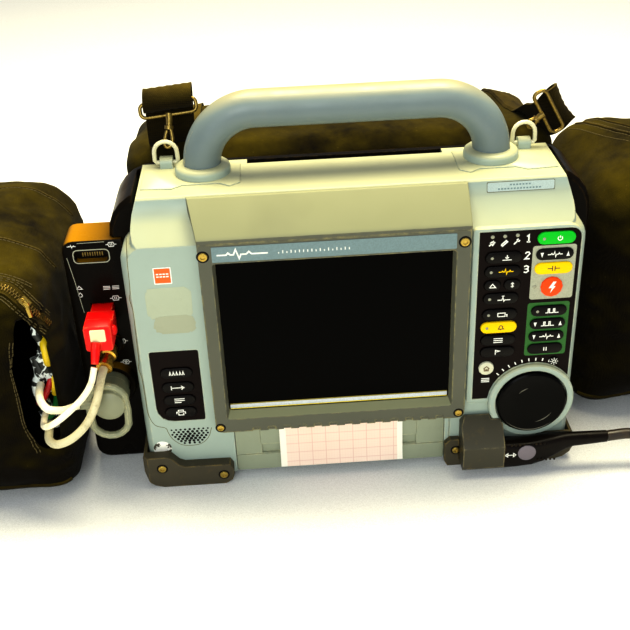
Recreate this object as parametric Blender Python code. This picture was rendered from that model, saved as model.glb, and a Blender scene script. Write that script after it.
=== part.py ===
"""Portable monitor/defibrillator with three soft pouches, built piece by piece.

Frame while drawing (mm): x to the viewer's right, y from the front panel to the
back, z up from the table.  place() turns it into metres about the middle of the
assembled object's base.
"""
import math

import bmesh
import bpy
from mathutils import Vector

for _o in list(bpy.data.objects):
    bpy.data.objects.remove(_o, do_unlink=True)

# ---------------------------------------------------------------- driving sizes
MM = 0.001
Y_MID = 100.26           # middle of the whole depth, measured from the front panel
CASE_HALF_W = 178.0      # half width of the front case
CASE_BOTTOM = 4.6        # underside of the case above the table
FACE_TOP = 222.0         # top edge of the vertical front panel
DECK_TOP = 251.5         # top deck that carries the handle
DECK_BACK = 86.0
SPLIT_Y = 34.0           # joint between the front and rear case halves
WALL = 5.0
REAR_HALF_W = 188.0
REAR_BACK = 160.0
PAD_Y = -3.0             # face of the raised key field
DIAL = (142.0, 62.5)
DIAL_R = 28.8
RING_R = 35.5
KEY_TRAVEL = 1.0
KEY_PROUD = 1.5
KEY_BACK = 10.0
BOARD_Y = 11.4
HANDLE_X = 113.0
HANDLE_Y = 64.0
HANDLE_R = 14.6
HANDLE_AXIS_Z = 301.4
HANDLE_BEND = 43.0
CABLE_R = 4.5            # therapy cable
BAY = (-104.3, 71.5, 50.6)   # printer bay: left side, right side, top
DOOR_SEAM_Z = 20.8       # groove across the printer door
GAP = 0.3

# ---------------------------------------------------------------- materials
def material(name, rgb, rough=0.5, metal=0.0):
    m = bpy.data.materials.get(name)
    if m is None:
        m = bpy.data.materials.new(name)
        m.use_nodes = True
        b = m.node_tree.nodes["Principled BSDF"]
        b.inputs["Base Color"].default_value = (rgb[0], rgb[1], rgb[2], 1.0)
        b.inputs["Roughness"].default_value = rough
        b.inputs["Metallic"].default_value = metal
    return m


M_CASE = material("case_plastic", (0.55, 0.60, 0.56), 0.45)
M_REAR = material("rear_plastic", (0.015, 0.014, 0.013), 0.35)
M_BEZEL = material("bezel_plastic", (0.19, 0.20, 0.19), 0.45)
M_GLASS = material("screen_glass", (0.004, 0.004, 0.005), 0.08)
M_LCD = material("lcd_frame", (0.05, 0.05, 0.06), 0.4)
M_OVER = material("overlay_film", (0.020, 0.012, 0.012), 0.35)
M_KEYK = material("key_black", (0.008, 0.007, 0.007), 0.3)
M_KEYG = material("key_green", (0.02, 0.52, 0.10), 0.35)
M_KEYY = material("key_yellow", (0.90, 0.55, 0.02), 0.35)
M_KEYR = material("key_orange", (0.88, 0.13, 0.02), 0.35)
M_KEYW = material("key_silver", (0.62, 0.63, 0.58), 0.35)
M_DIAL = material("dial_plastic", (0.006, 0.006, 0.006), 0.12)
M_STEEL = material("shaft_steel", (0.45, 0.45, 0.45), 0.3, 1.0)
M_HANDLE = material("handle_rubber", (0.20, 0.23, 0.26), 0.5)
M_BUMP = material("bumper_rubber", (0.07, 0.075, 0.07), 0.6)
M_PAPER = material("chart_paper", (0.88, 0.72, 0.62), 0.8)
M_SOCK = material("socket_plastic", (0.10, 0.10, 0.10), 0.4)
M_PLUG = material("therapy_plug_plastic", (0.02, 0.013, 0.012), 0.4)
M_CABLE = material("therapy_cable_jacket", (0.03, 0.02, 0.015), 0.45)
M_RED = material("spo2_plug_plastic", (0.75, 0.02, 0.02), 0.35)
M_CREAM = material("cream_cable_jacket", (0.78, 0.74, 0.62), 0.5)
M_GREYC = material("grey_cable_jacket", (0.55, 0.54, 0.47), 0.5)
M_BRASS = material("brass_fitting", (0.65, 0.50, 0.22), 0.3, 1.0)
M_ECG = material("ecg_plug_plastic", (0.35, 0.38, 0.36), 0.4)
M_RINGM = material("ring_metal", (0.70, 0.69, 0.60), 0.35, 0.6)
M_POUCH = material("pouch_fabric", (0.035, 0.030, 0.012), 0.9)
M_BOARD = material("board_green", (0.03, 0.20, 0.08), 0.5)
M_CAP = material("capacitor_sleeve", (0.05, 0.07, 0.20), 0.4)
M_BATT = material("battery_plastic", (0.10, 0.10, 0.11), 0.45)
M_ROLL = material("roller_rubber", (0.03, 0.03, 0.03), 0.7)
M_DOOR = material("door_plastic", (0.42, 0.47, 0.45), 0.45)
M_PADC = material("pads_connector_plastic", (0.25, 0.26, 0.27), 0.45)


# ---------------------------------------------------------------- shape helpers
def place(p):
    return Vector((p[0] * MM, (p[1] - Y_MID) * MM, p[2] * MM))


def finish(bm, name, mat=None):
    bmesh.ops.remove_doubles(bm, verts=bm.verts, dist=1e-7)
    bmesh.ops.recalc_face_normals(bm, faces=bm.faces)
    me = bpy.data.meshes.new(name)
    bm.to_mesh(me)
    bm.free()
    ob = bpy.data.objects.new(name, me)
    bpy.context.scene.collection.objects.link(ob)
    if mat is not None:
        me.materials.append(mat)
    return ob


def loft(name, rings, mat=None):
    """Closed body through rings of equal point count, with flat end caps."""
    bm = bmesh.new()
    rows = [[bm.verts.new(place(p)) for p in r] for r in rings]
    n = len(rings[0])
    for a, b in zip(rows[:-1], rows[1:]):
        for i in range(n):
            j = (i + 1) % n
            bm.faces.new((a[i], a[j], b[j], b[i]))
    bm.faces.new(rows[0][::-1])
    bm.faces.new(rows[-1])
    return finish(bm, name, mat)


def prism_x(name, yz, x0, x1, mat=None):
    return loft(name, [[(x0, y, z) for y, z in yz], [(x1, y, z) for y, z in yz]], mat)


def prism_y(name, xz, y0, y1, mat=None):
    return loft(name, [[(x, y0, z) for x, z in xz], [(x, y1, z) for x, z in xz]], mat)


def box(name, x0, x1, y0, y1, z0, z1, mat=None):
    return prism_y(name, [(x0, z0), (x1, z0), (x1, z1), (x0, z1)], y0, y1, mat)


def arc(cx, cz, r, a0, a1, n):
    return [(cx + r * math.cos(math.radians(a0 + (a1 - a0) * i / n)),
             cz + r * math.sin(math.radians(a0 + (a1 - a0) * i / n))) for i in range(n + 1)]


def rrect(x0, x1, z0, z1, r=4.0, n=4):
    """Rounded rectangle; r is one radius or (bl, br, tr, tl)."""
    bl, br, tr, tl = (r, r, r, r) if not isinstance(r, tuple) else r
    p = arc(x0 + bl, z0 + bl, bl, 180, 270, n)
    p += arc(x1 - br, z0 + br, br, 270, 360, n)
    p += arc(x1 - tr, z1 - tr, tr, 0, 90, n)
    p += arc(x0 + tl, z1 - tl, tl, 90, 180, n)
    return p


def plate(name, x0, x1, z0, z1, y_front, y_back, r=4.0, b=1.0, mat=None, n=4, back_b=0.0):
    """Rounded plate facing the front with an eased front edge."""
    def ring(y, inset):
        rr = tuple(max(q - inset, 0.3) for q in (r if isinstance(r, tuple) else (r,) * 4))
        return [(x, y, z) for x, z in rrect(x0 + inset, x1 - inset, z0 + inset, z1 - inset, rr, n)]
    rings = []
    if b > 0:
        rings += [ring(y_front, b), ring(y_front + b * 0.35, b * 0.3), ring(y_front + b, 0.0)]
    else:
        rings += [ring(y_front, 0.0)]
    if back_b > 0:
        rings += [ring(y_back - back_b, 0.0), ring(y_back, back_b)]
    else:
        rings += [ring(y_back, 0.0)]
    return loft(name, rings, mat)


def pill(name, cx, cz, w, h, y_front, y_back, mat=None, n=6, ease=0.7):
    return plate(name, cx - w / 2, cx + w / 2, cz - h / 2, cz + h / 2,
                 y_front, y_back, h / 2 - 0.01, ease, mat, n // 2)


def disc(name, cx, cz, r, y_front, y_back, mat=None, n=24, ease=0.0):
    def ring(y, rr):
        return [(cx + rr * math.cos(2 * math.pi * i / n), y, cz + rr * math.sin(2 * math.pi * i / n))
                for i in range(n)]
    rings = [ring(y_front, r - ease)]
    if ease > 0:
        rings += [ring(y_front + ease, r)]
    rings += [ring(y_back, r)]
    return loft(name, rings, mat)


def turned(name, origin, axis, profile, mat=None, n=24):
    """Solid of revolution; profile is (radius, along); radius 0 closes on the axis."""
    ax = Vector(axis).normalized()
    side = Vector((0, 0, 1)) if abs(ax.z) < 0.9 else Vector((1, 0, 0))
    u = ax.cross(side).normalized()
    v = ax.cross(u).normalized()
    o = Vector(origin)
    bm = bmesh.new()
    rows = []
    for r, t in profile:
        c = o + ax * t
        if r < 1e-6:
            rows.append([bm.verts.new(place(c))])
        else:
            rows.append([bm.verts.new(place(c + (u * math.cos(2 * math.pi * i / n)
                                                  + v * math.sin(2 * math.pi * i / n)) * r))
                         for i in range(n)])
    closed = profile[0] != profile[-1] and len(rows[0]) > 1 and len(rows[-1]) > 1
    pairs = list(zip(rows[:-1], rows[1:]))
    if closed:
        pairs.append((rows[-1], rows[0]))
    for a, b in pairs:
        if len(a) == 1 and len(b) == 1:
            continue
        for i in range(n):
            j = (i + 1) % n
            if len(a) == 1:
                bm.faces.new((a[0], b[j], b[i]))
            elif len(b) == 1:
                bm.faces.new((a[i], a[j], b[0]))
            else:
                bm.faces.new((a[i], a[j], b[j], b[i]))
    return finish(bm, name, mat)


def smooth_path(points, step):
    """Even points along a Catmull-Rom curve through the given ones."""
    pts = [Vector(p) for p in points]
    pts = [pts[0] * 2 - pts[1]] + pts + [pts[-1] * 2 - pts[-2]]
    dense = []
    for i in range(1, len(pts) - 2):
        p0, p1, p2, p3 = pts[i - 1], pts[i], pts[i + 1], pts[i + 2]
        for k in range(16):
            t = k / 16.0
            dense.append(0.5 * ((2 * p1) + (p2 - p0) * t + (2 * p0 - 5 * p1 + 4 * p2 - p3) * t * t
                                + (3 * p1 - p0 - 3 * p2 + p3) * t ** 3))
    dense.append(pts[-2])
    total = sum((b - a).length for a, b in zip(dense[:-1], dense[1:]))
    n = max(2, int(round(total / step)))
    out, want, run = [dense[0]], total / n, 0.0
    nxt = want
    for a, b in zip(dense[:-1], dense[1:]):
        seg = (b - a).length
        while run + seg >= nxt - 1e-9 and len(out) < n:
            out.append(a.lerp(b, (nxt - run) / seg))
            nxt += want
        run += seg
    out.append(dense[-1])
    return out


def tube(name, points, r, mat=None, n=10, closed=False):
    """Round rod swept along points."""
    pts = [Vector(p) for p in points]
    m = len(pts)
    bm = bmesh.new()
    rows = []
    ref = None
    for i, p in enumerate(pts):
        if closed:
            t = (pts[(i + 1) % m] - pts[i - 1]).normalized()
        else:
            t = (pts[min(i + 1, m - 1)] - pts[max(i - 1, 0)]).normalized()
        if ref is None:
            s = Vector((0, 0, 1)) if abs(t.z) < 0.8 else Vector((0, 1, 0))
            ref = (s - t * s.dot(t)).normalized()
        else:
            ref = (ref - t * ref.dot(t)).normalized()
        w = t.cross(ref)
        rows.append([bm.verts.new(place(p + (ref * math.cos(2 * math.pi * k / n)
                                              + w * math.sin(2 * math.pi * k / n)) * r))
                     for k in range(n)])
    pairs = list(zip(rows[:-1], rows[1:]))
    if closed:
        pairs.append((rows[-1], rows[0]))
    for a, b in pairs:
        for k in range(n):
            j = (k + 1) % n
            bm.faces.new((a[k], a[j], b[j], b[k]))
    if not closed:
        bm.faces.new(rows[0][::-1])
        bm.faces.new(rows[-1])
    return finish(bm, name, mat)


def boolean(ob, other, op):
    mod = ob.modifiers.new("bool", "BOOLEAN")
    mod.operation = op
    mod.solver = "EXACT"
    mod.object = other
    dg = bpy.context.evaluated_depsgraph_get()
    dg.update()
    me = bpy.data.meshes.new_from_object(ob.evaluated_get(dg), preserve_all_data_layers=False,
                                         depsgraph=dg)
    mats = [m for m in ob.data.materials]
    ob.modifiers.clear()
    ob.data = me
    me.materials.clear()
    for m in mats[:1]:
        me.materials.append(m)
    for p in me.polygons:
        p.material_index = 0
    bpy.data.objects.remove(other, do_unlink=True)
    bm = bmesh.new()
    bm.from_mesh(me)
    bmesh.ops.remove_doubles(bm, verts=bm.verts, dist=2e-7)
    bmesh.ops.dissolve_degenerate(bm, dist=2e-7, edges=bm.edges)
    bm.to_mesh(me)
    bm.free()
    return ob


def cut(ob, other):
    return boolean(ob, other, "DIFFERENCE")


def join(ob, other):
    return boolean(ob, other, "UNION")


def keep(ob, other):
    return boolean(ob, other, "INTERSECT")


# ---------------------------------------------------------------- front case
side = [(0, CASE_BOTTOM), (0, FACE_TOP - 1.5), (1.5, FACE_TOP + 0.3), (18, 240), (20, DECK_TOP - 1.5),
        (21.5, DECK_TOP), (DECK_BACK, DECK_TOP), (DECK_BACK, 238), (SPLIT_Y, 238), (SPLIT_Y, CASE_BOTTOM)]
front_case = prism_x("front_case", side, -CASE_HALF_W - 4, CASE_HALF_W + 4, M_CASE)


def case_outline(y, inset):
    w = CASE_HALF_W - inset
    p = arc(-w + 8, CASE_BOTTOM + 8, 8, 180, 270, 3) + arc(w - 8, CASE_BOTTOM + 8, 8, 270, 360, 3)
    p += [(w, 203)] + arc(w - 16, 206, 16, 10, 62, 4)
    p += [(166 - inset, 240), (161.5 - inset, DECK_TOP + 2)]
    p += [(-161.5 + inset, DECK_TOP + 2), (-166 + inset, 240)]
    p += arc(-w + 16, 206, 16, 118, 170, 4) + [(-w, 203)]
    return [(x, y, z) for x, z in p]


keep(front_case, loft("o", [case_outline(-1, 6.5), case_outline(0, 6.0), case_outline(3, 2.6),
                            case_outline(8, 0.6), case_outline(12, 0), case_outline(DECK_BACK + 2, 0)]))
# raised key field with the ring round the dial
field = plate("f", 88.4, 172.5, 61.5, 221.6, PAD_Y, 1.0, (4, 4, 11, 3), 1.2, n=4)
join(front_case, field)
join(front_case, disc("f", DIAL[0], DIAL[1], RING_R, -6.5, 1.0, n=40, ease=1.2))
cut(front_case, disc("c", DIAL[0], DIAL[1], 30.0, -8, -0.6, n=40))
# hollow inside
cut(front_case, box("c", -171.5, 171.5, WALL, SPLIT_Y + 1, CASE_BOTTOM + 6.5, 217.4))
cut(front_case, box("c", -156, 156, SPLIT_Y + 3, 74.5, 236, 248.4))
# the deck is shorter between the handle posts
cut(front_case, box("c", -79, 77, 77.5, DECK_BACK + 2, 230, DECK_TOP + 3))
# screen rebate and opening
cut(front_case, prism_y("c", rrect(-109.2, 76.7, 65.3, 207.7, 1.0, 1), -1, 2.6))
cut(front_case, prism_y("c", rrect(-102, 70, 72, 200, 1.0, 1), 2, WALL + 1))
# key overlay recesses and key wells


def overlay_right_outline(g):
    """Key field film with an arc cut round the dial ring; g grows it."""
    cx, cz = DIAL
    r = RING_R + 0.9 - g
    x0, x1, z0, z1 = 93.5 - g, 171.0 + g, 66.0 - g, 218.6 + g
    zr = 84.8 - g
    a_l = math.degrees(math.asin((z0 - cz) / r))
    a_r = math.degrees(math.acos((zr - cz) / r))
    xl = cx - r * math.cos(math.radians(a_l))
    p = [(x0, z0)]
    p += arc(cx, cz, r, 180 - a_l, 90 - a_r, 12)
    p += [(x1, zr)]
    p += arc(x1 - 8, z1 - 8, 8, 0, 90, 4)
    p += [(x0, z1)]
    return p


cut(front_case, prism_y("c", overlay_right_outline(0.25), PAD_Y - 2, PAD_Y + 1.7))
cut(front_case, box("c", 97, 168, PAD_Y - 1, WALL + 1, 104.6, 216.8))
cut(front_case, disc("c", 103.6, 96.0, 7.4, PAD_Y - 1, WALL + 1, n=16))
cut(front_case, disc("c", 158.6, 99.4, 4.6, PAD_Y - 1, WALL + 1, n=12))
cut(front_case, prism_y("c", rrect(-165.3, -126.4, 60.7, 128.8, (13.3, 2, 2, 2), 4), -1, 1.6))
cut(front_case, box("c", -161, -130.5, 0, WALL + 1, 63.5, 116))
# dial shaft hole
cut(front_case, disc("c", DIAL[0], DIAL[1], 4.3, -4, WALL + 1, n=12))
# printer bay
cut(front_case, box("c", BAY[0], BAY[1], -1, WALL + 1.6, CASE_BOTTOM - 1, BAY[2]))
cut(front_case, box("c", 75.3, 76.1, -1, 0.9, 23.0, BAY[2] + 0.4))
# cheeks with hubs that hold the chart paper roll
for x0, x1, h0, h1 in ((-71.6, -69.2, -69.6, -61.0), (37.2, 39.6, 29.0, 37.6)):
    cheek = prism_x("k", [(18.5, CASE_BOTTOM + 6), (33.5, CASE_BOTTOM + 6), (33.5, 14), (58, 26),
                          (58, 46), (50, 50), (26, 50), (18.5, 42)], x0, x1)
    join(cheek, turned("k", (0, 40.0, 38.0), (1, 0, 0), [(0, h0), (4.6, h0), (4.6, h1), (0, h1)], n=16))
    join(front_case, cheek)
# lugs for the strap rings
RING_L = (-142.0, 78.0, DECK_TOP + 4.6)
RING_RT = (142.0, 78.0, DECK_TOP + 4.6)
for cx, cy, cz in (RING_L, RING_RT):
    lug = prism_x("l", [(cy - 5, DECK_TOP - 2), (cy + 5, DECK_TOP - 2)]
                  + arc(cy, cz, 5.0, 0, 180, 6), cx - 5, cx + 5)
    join(front_case, lug)
    cut(front_case, prism_x("c", arc(cy, cz, 2.3, 0, 345, 11), cx - 7, cx + 7))

# ---------------------------------------------------------------- rear case


def rear_outline(y, inset, top):
    w = REAR_HALF_W - inset
    p = arc(-w + 9, 14 + inset, 9, 180, 270, 3) + arc(w - 9, 14 + inset, 9, 270, 360, 3)
    r = 36
    p += arc(w - r, top - inset - r, r, 0, 90, 6) + arc(-w + r, top - inset - r, r, 90, 180, 6)
    return [(x, y, z) for x, z in p]


rear_case = loft("rear_case", [rear_outline(SPLIT_Y + GAP, 2.5, 251), rear_outline(SPLIT_Y + 4, 0, 251),
                               rear_outline(REAR_BACK - 6, 0, 251),
                               rear_outline(REAR_BACK, 6, 251)], M_REAR)
cut(rear_case, box("c", -200, 200, 92, 200, 200, 260))
cut(rear_case, box("c", -167, 167, 30, DECK_BACK + GAP, 237.6, 260))
cut(rear_case, box("c", -172, 172, 30, 110, 12, 193))
cut(rear_case, box("c", -150, 150, 30, 84, 190, 231))
cut(rear_case, box("c", -200, -178.2, 30, 66.4, 0, 214.5))
for s in (-1, 1):
    cut(rear_case, box("c", min(s * 8, s * 84), max(s * 8, s * 84), 120, 170, 22, 114))
    foot = loft("f", [[(s * 132 + px, 132 + py, z) for px, py in
                       [(-14, -12), (14, -12), (14, 12), (-14, 12)]] for z in (0, 9)])
    join(rear_case, foot)

# ---------------------------------------------------------------- display
LIP_Y = -7.0
bezel = prism_y("display_bezel", rrect(-118.2, 86.6, 50.9, 222.0, (6, 6, 0.5, 0.5), 3), LIP_Y, -0.2,
                M_BEZEL)
hood = prism_x("h", [(-0.2, 216), (LIP_Y, 216), (LIP_Y, 223.5), (-8.2, 224.5), (-8.2, 227.5),
                     (-6.5, 230.2), (16.2, 251.3),
                     (19.0, 251.3), (17.4, 240.4), (-0.2, 222.8)], -118.2, 86.6)
for v in hood.data.vertices:
    if v.co.x < 0 and v.co.z > 0.2235:
        v.co.x -= 0.24 * (v.co.y + (Y_MID + 8.2) * MM)
join(bezel, hood)
cut(bezel, loft("c", [[(x, LIP_Y - 2, z) for x, z in rrect(-108.6, 76.1, 62.6, 207.6, 2, 2)],
                      [(x, LIP_Y, z) for x, z in rrect(-108.2, 75.7, 64.0, 207.4, 2, 2)],
                      [(x, 0.5, z) for x, z in rrect(-106.0, 73.6, 69.2, 205.0, 2, 2)]]))
# finger ribs along the lower edge
for i in range(13):
    x = -88 + i * 12.6
    cut(bezel, box("c", x, x + 6.0, LIP_Y - 1, LIP_Y + 1.2, 49, 54.2))
display_window = plate("display_window", -108.8, 76.3, 65.7, 207.3, 0.3, 2.4, 1.0, 0.0, M_GLASS, n=1)
lcd_module = box("lcd_module", -106, 74, WALL + 0.4, BOARD_Y - 0.4, 72, 204, M_LCD)

# ---------------------------------------------------------------- key films and keys
over_r = prism_y("key_overlay_right", overlay_right_outline(0.0), PAD_Y + 0.3, PAD_Y + 1.6, M_OVER)
over_l = prism_y("key_overlay_left", rrect(-165.0, -126.7, 61.0, 128.5, (13, 1.7, 1.7, 1.7), 4), 0.1,
                 1.4, M_OVER)

KEYS_R = [  # name, centre x, centre z, width, height, material
    ("key_on", 152.0, 211.0, 29.4, 10.2, M_KEYG),
    ("key_energy", 151.6, 197.4, 29.1, 9.8, M_KEYK),
    ("key_charge", 151.5, 185.2, 29.6, 10.0, M_KEYY),
    ("key_shock", 151.3, 168.7, 17.4, 17.4, M_KEYR),
    ("key_cpr", 112.4, 196.9, 28.0, 9.6, M_KEYK),
    ("key_analyze", 112.2, 184.7, 28.0, 9.6, M_KEYK),
    ("key_lead", 104.8, 172.8, 13.0, 9.0, M_KEYK),
    ("key_size", 120.2, 172.8, 13.0, 9.0, M_KEYK),
    ("key_sync", 111.9, 160.9, 27.6, 9.6, M_KEYK),
    ("key_nibp", 111.8, 146.4, 27.6, 9.6, M_KEYK),
    ("key_alarms", 111.7, 134.5, 29.0, 10.0, M_KEYY),
    ("key_options", 111.7, 122.7, 27.6, 9.4, M_KEYK),
    ("key_event", 111.8, 111.4, 27.6, 9.4, M_KEYK),
    ("key_home", 103.6, 96.0, 12.6, 12.6, M_KEYW),
    ("key_pacer", 150.9, 147.2, 28.4, 9.4, M_KEYK),
    ("key_rate", 150.6, 135.4, 28.4, 9.4, M_KEYK),
    ("key_current", 150.4, 123.7, 28.4, 9.4, M_KEYK),
    ("key_pause", 150.2, 112.0, 28.4, 9.4, M_KEYK),
    ("key_contrast", 158.6, 99.4, 7.2, 7.2, M_KEYK),
]
KEYS_L = [
    ("key_twelve_lead", -145.5, 108.3, 25.6, 9.4, M_KEYK),
    ("key_transmit", -145.6, 94.4, 25.6, 9.4, M_KEYK),
    ("key_summary", -145.5, 81.8, 25.6, 9.4, M_KEYK),
    ("key_print", -145.6, 69.9, 25.6, 9.4, M_KEYK),
]
for name, cx, cz, w, h, mat in KEYS_R:
    cut(over_r, prism_y("c", rrect(cx - w / 2 - 0.3, cx + w / 2 + 0.3, cz - h / 2 - 0.3, cz + h / 2 + 0.3,
                                   h / 2 + 0.29, 3), PAD_Y - 1, PAD_Y + 3))
    pill(name, cx, cz, w, h, PAD_Y + 0.3 - KEY_PROUD, KEY_BACK, mat)
for name, cx, cz, w, h, mat in KEYS_L:
    cut(over_l, prism_y("c", rrect(cx - w / 2 - 0.3, cx + w / 2 + 0.3, cz - h / 2 - 0.3, cz + h / 2 + 0.3,
                                   h / 2 + 0.29, 3), -1, 3))
    pill(name, cx, cz, w, h, 0.1 - KEY_PROUD + 0.2, KEY_BACK, mat)
system_board = box("system_board", -168, 168, BOARD_Y, BOARD_Y + 1.8, 60, 212, M_BOARD)

# ---------------------------------------------------------------- speed dial
turned("speed_dial", (DIAL[0], 0, DIAL[1]), (0, 1, 0),
       [(0, -4.2), (3.25, -4.2), (3.25, -1.9), (28.0, -1.9), (DIAL_R, -2.6), (DIAL_R, -8.4), (27.4, -9.5),
        (25.4, -9.2), (20.5, -7.4), (12, -6.1), (0, -5.6)], M_DIAL, n=40)
turned("encoder_plunger", (DIAL[0], 0, DIAL[1]), (0, 1, 0),
       [(0, -4.1), (3.0, -4.1), (3.0, 10.6), (0, 10.6)], M_STEEL, n=16)

# ---------------------------------------------------------------- printer
door = plate("printer_door", BAY[0] + 0.4, BAY[1] - 0.4, CASE_BOTTOM + 0.4, BAY[2] - 0.4, 0.2, 4.4, 1.0,
             0.5, M_DOOR, n=1)
for x0, x1 in ((-82.2, -60.0), (28.0, 47.8)):     # finger notches at each side of the paper
    cut(door, box("c", x0, x1, -1, 2.4, DOOR_SEAM_Z + 1.2, 31.0))
for x in (-83.0, 48.0):
    cut(door, box("c", x - 0.25, x + 0.25, -1, 0.6, 33.0, BAY[2] + 1))
cut(door, box("c", BAY[0] - 1, BAY[1] + 1, -1, 1.0, DOOR_SEAM_Z, DOOR_SEAM_Z + 0.8))
for x in (-60, 28):     # roller brackets
    br = prism_x("b", [(4.0, 30), (4.0, 46)] + arc(11.5, 38.5, 4.6, 90, -90, 5), x - 13.6, x - 10.6)
    if x > 0:
        for v in br.data.vertices:
            v.co.x += 21.4 * MM
    cut(br, prism_x("c", arc(11.5, 38.5, 1.5, 0, 330, 11), x - 20, x + 30))
    join(door, br)
turned("platen_roller", (-17.0, 11.5, 38.5), (1, 0, 0),
       [(0, -60), (1.2, -60), (1.2, -52), (5.4, -52), (5.4, 52), (1.2, 52), (1.2, 60),
        (0, 60)], M_ROLL, n=16)
turned("paper_roll", (-16.0, 40.0, 38.0), (1, 0, 0),
       [(5.0, -51.0), (16.5, -51.0), (17.5, -50.0), (17.5, 50.0), (16.5, 51.0),
        (5.0, 51.0)], M_PAPER, n=24)


def ribbon(name, yz, x0, x1, t, mat):
    left, right = [], []
    for i, (y, z) in enumerate(yz):
        a = yz[max(i - 1, 0)]
        b = yz[min(i + 1, len(yz) - 1)]
        dy, dz = b[0] - a[0], b[1] - a[1]
        ln = math.hypot(dy, dz)
        ny, nz = -dz / ln * t / 2, dy / ln * t / 2
        left.append((y + ny, z + nz))
        right.append((y - ny, z - nz))
    return prism_x(name, left + right[::-1], x0, x1, mat)


# chart paper comes out under the bezel lip and hangs in front of the door
ribbon("paper_strip", [(-0.8, 50.6), (-0.9, 47.0), (-1.3, 28.0), (-2.1, 15.0), (-3.4, 8.6)],
       -67.0, 36.0, 0.45, M_PAPER)

# ---------------------------------------------------------------- carrying handle
path = [(-HANDLE_X, HANDLE_Y, DECK_TOP + GAP)]
for a in range(0, 91, 15):
    t = math.radians(180 - a)
    path.append((-HANDLE_X + HANDLE_BEND + HANDLE_BEND * math.cos(t), HANDLE_Y,
                 HANDLE_AXIS_Z - HANDLE_BEND + HANDLE_BEND * math.sin(t)))
path += [(-x, y, z) for x, y, z in path[::-1]]
handle = tube("handle", path, HANDLE_R, M_HANDLE, n=18)
for s in (-1, 1):
    join(handle, turned("c", (s * HANDLE_X, HANDLE_Y, DECK_TOP + GAP), (0, 0, 1),
                        [(0, 0), (21.4, 0), (21.6, 1.6), (20.0, 4.4), (16.4, 7.0), (0, 7.8)], n=24))


def d_ring(name, c):
    cx, cy, cz = c
    pts = [(cx - 7.8, cy, cz), (cx - 3.5, cy, cz), (cx + 3.5, cy, cz), (cx + 7.8, cy, cz),
           (cx + 9.0, cy, cz + 1.5)]
    for a in range(0, 181, 20):
        pts.append((cx + 8.9 * math.cos(math.radians(a)), cy, cz + 8.2 + 8.9 * math.sin(math.radians(a))))
    pts.append((cx - 9.0, cy, cz + 1.5))
    return tube(name, pts, 1.75, M_RINGM, n=8, closed=True)


d_ring("strap_ring_left", RING_L)
d_ring("strap_ring_right", RING_RT)

# ---------------------------------------------------------------- connector wing
W0, W1, WF = -226.0, -178.6, 32.0


def wing_ring(y, inset):
    return [(x, y, z) for x, z in rrect(W0 + inset, W1, 4 + inset, 214 - inset, (11, 1, 1, 9), 4)]


wing = loft("connector_panel", [wing_ring(WF, 1.6), wing_ring(WF + 0.6, 0.5), wing_ring(WF + 2.2, 0),
                                wing_ring(63.5, 0), wing_ring(66, 2.0)], M_REAR)
cut(wing, prism_y("c", rrect(-216.5, -190.5, 195.5, 205.0, 3.5, 3), 30, 38))
cut(wing, box("c", -210.5, -191.5, 30, 44, 140.5, 158.0))
join(wing, turned("r", (-198.5, WF, 120.0), (0, 1, 0), [(0, 6), (9.5, 6), (9.5, -3), (8.0, -4),
                                                        (0, -4)], n=16))
join(wing, turned("r", (-202.0, WF, 83.0), (0, 1, 0),
                  [(13.6, 8), (19.5, 8), (19.5, -6), (18.3, -8), (14.8, -8), (14.0, -6)], n=24))
cut(wing, disc("c", -202.0, 83.0, 13.9, 22, 46, n=24))

spo2 = plate("spo2_plug", -211.5, -190.0, 137.5, 160.0, -8.0, 20.0, 2.5, 1.2, M_RED, n=2)
join(spo2, box("s", -209.4, -192.6, 19, 43, 141.5, 157.0))
cut(spo2, box("c", -213, -188, 4.5, 50, 157.6, 162))
join(spo2, turned("s", (-203.0, -7, 145.5), (-0.12, -0.75, -1.0),
                  [(0, 0), (4.2, 0), (3.9, 6), (3.0, 17), (0, 17)], n=10))
turned("nibp_fitting", (-198.5, WF - 6.2, 120.0), (-0.18, -1, -0.25),
       [(0, 0), (5.4, 0), (5.4, 5), (6.8, 6), (6.8, 10), (5.2, 11), (5.2, 18), (6.6, 19), (6.6, 23),
        (0, 23)], M_BRASS, n=16)
ecg = turned("ecg_plug", (-202.0, 44.0, 83.0), (0, -1, 0),
             [(0, 0), (13.4, 0), (13.4, 26), (14.6, 27), (14.6, 44), (12.8, 49), (9.0, 51.5),
              (0, 52)], M_ECG, n=24)
RING_C = (-203.5, -3.0, 76.0)
loop = []
for i in range(18):
    a = 2 * math.pi * i / 18
    zz = math.sin(a) * 15.5
    loop.append((RING_C[0] + 15.2 * math.cos(a), RING_C[1] + 2.0,
                 RING_C[2] + zz + (9.0 if zz > 0 else -9.0) * min(1.0, abs(math.sin(a)) * 3)))
ring = tube("r", loop, 3.1, n=8, closed=True)
join(ecg, ring)
join(ecg, turned("s", (-211.5, 1.0, 84.0), (-1, -0.45, 0.15), [(0, 0), (5.6, 0), (5.2, 5), (3.6, 15),
                                                               (0, 15)], n=10))

# ---------------------------------------------------------------- side pouches (shells)


def soft_ring(x0, x1, y0, y1, z, r, n=5):
    p = rrect(x0, x1, y0, y1, r, n)
    return [(x, y, z) for x, y in p]


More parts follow.
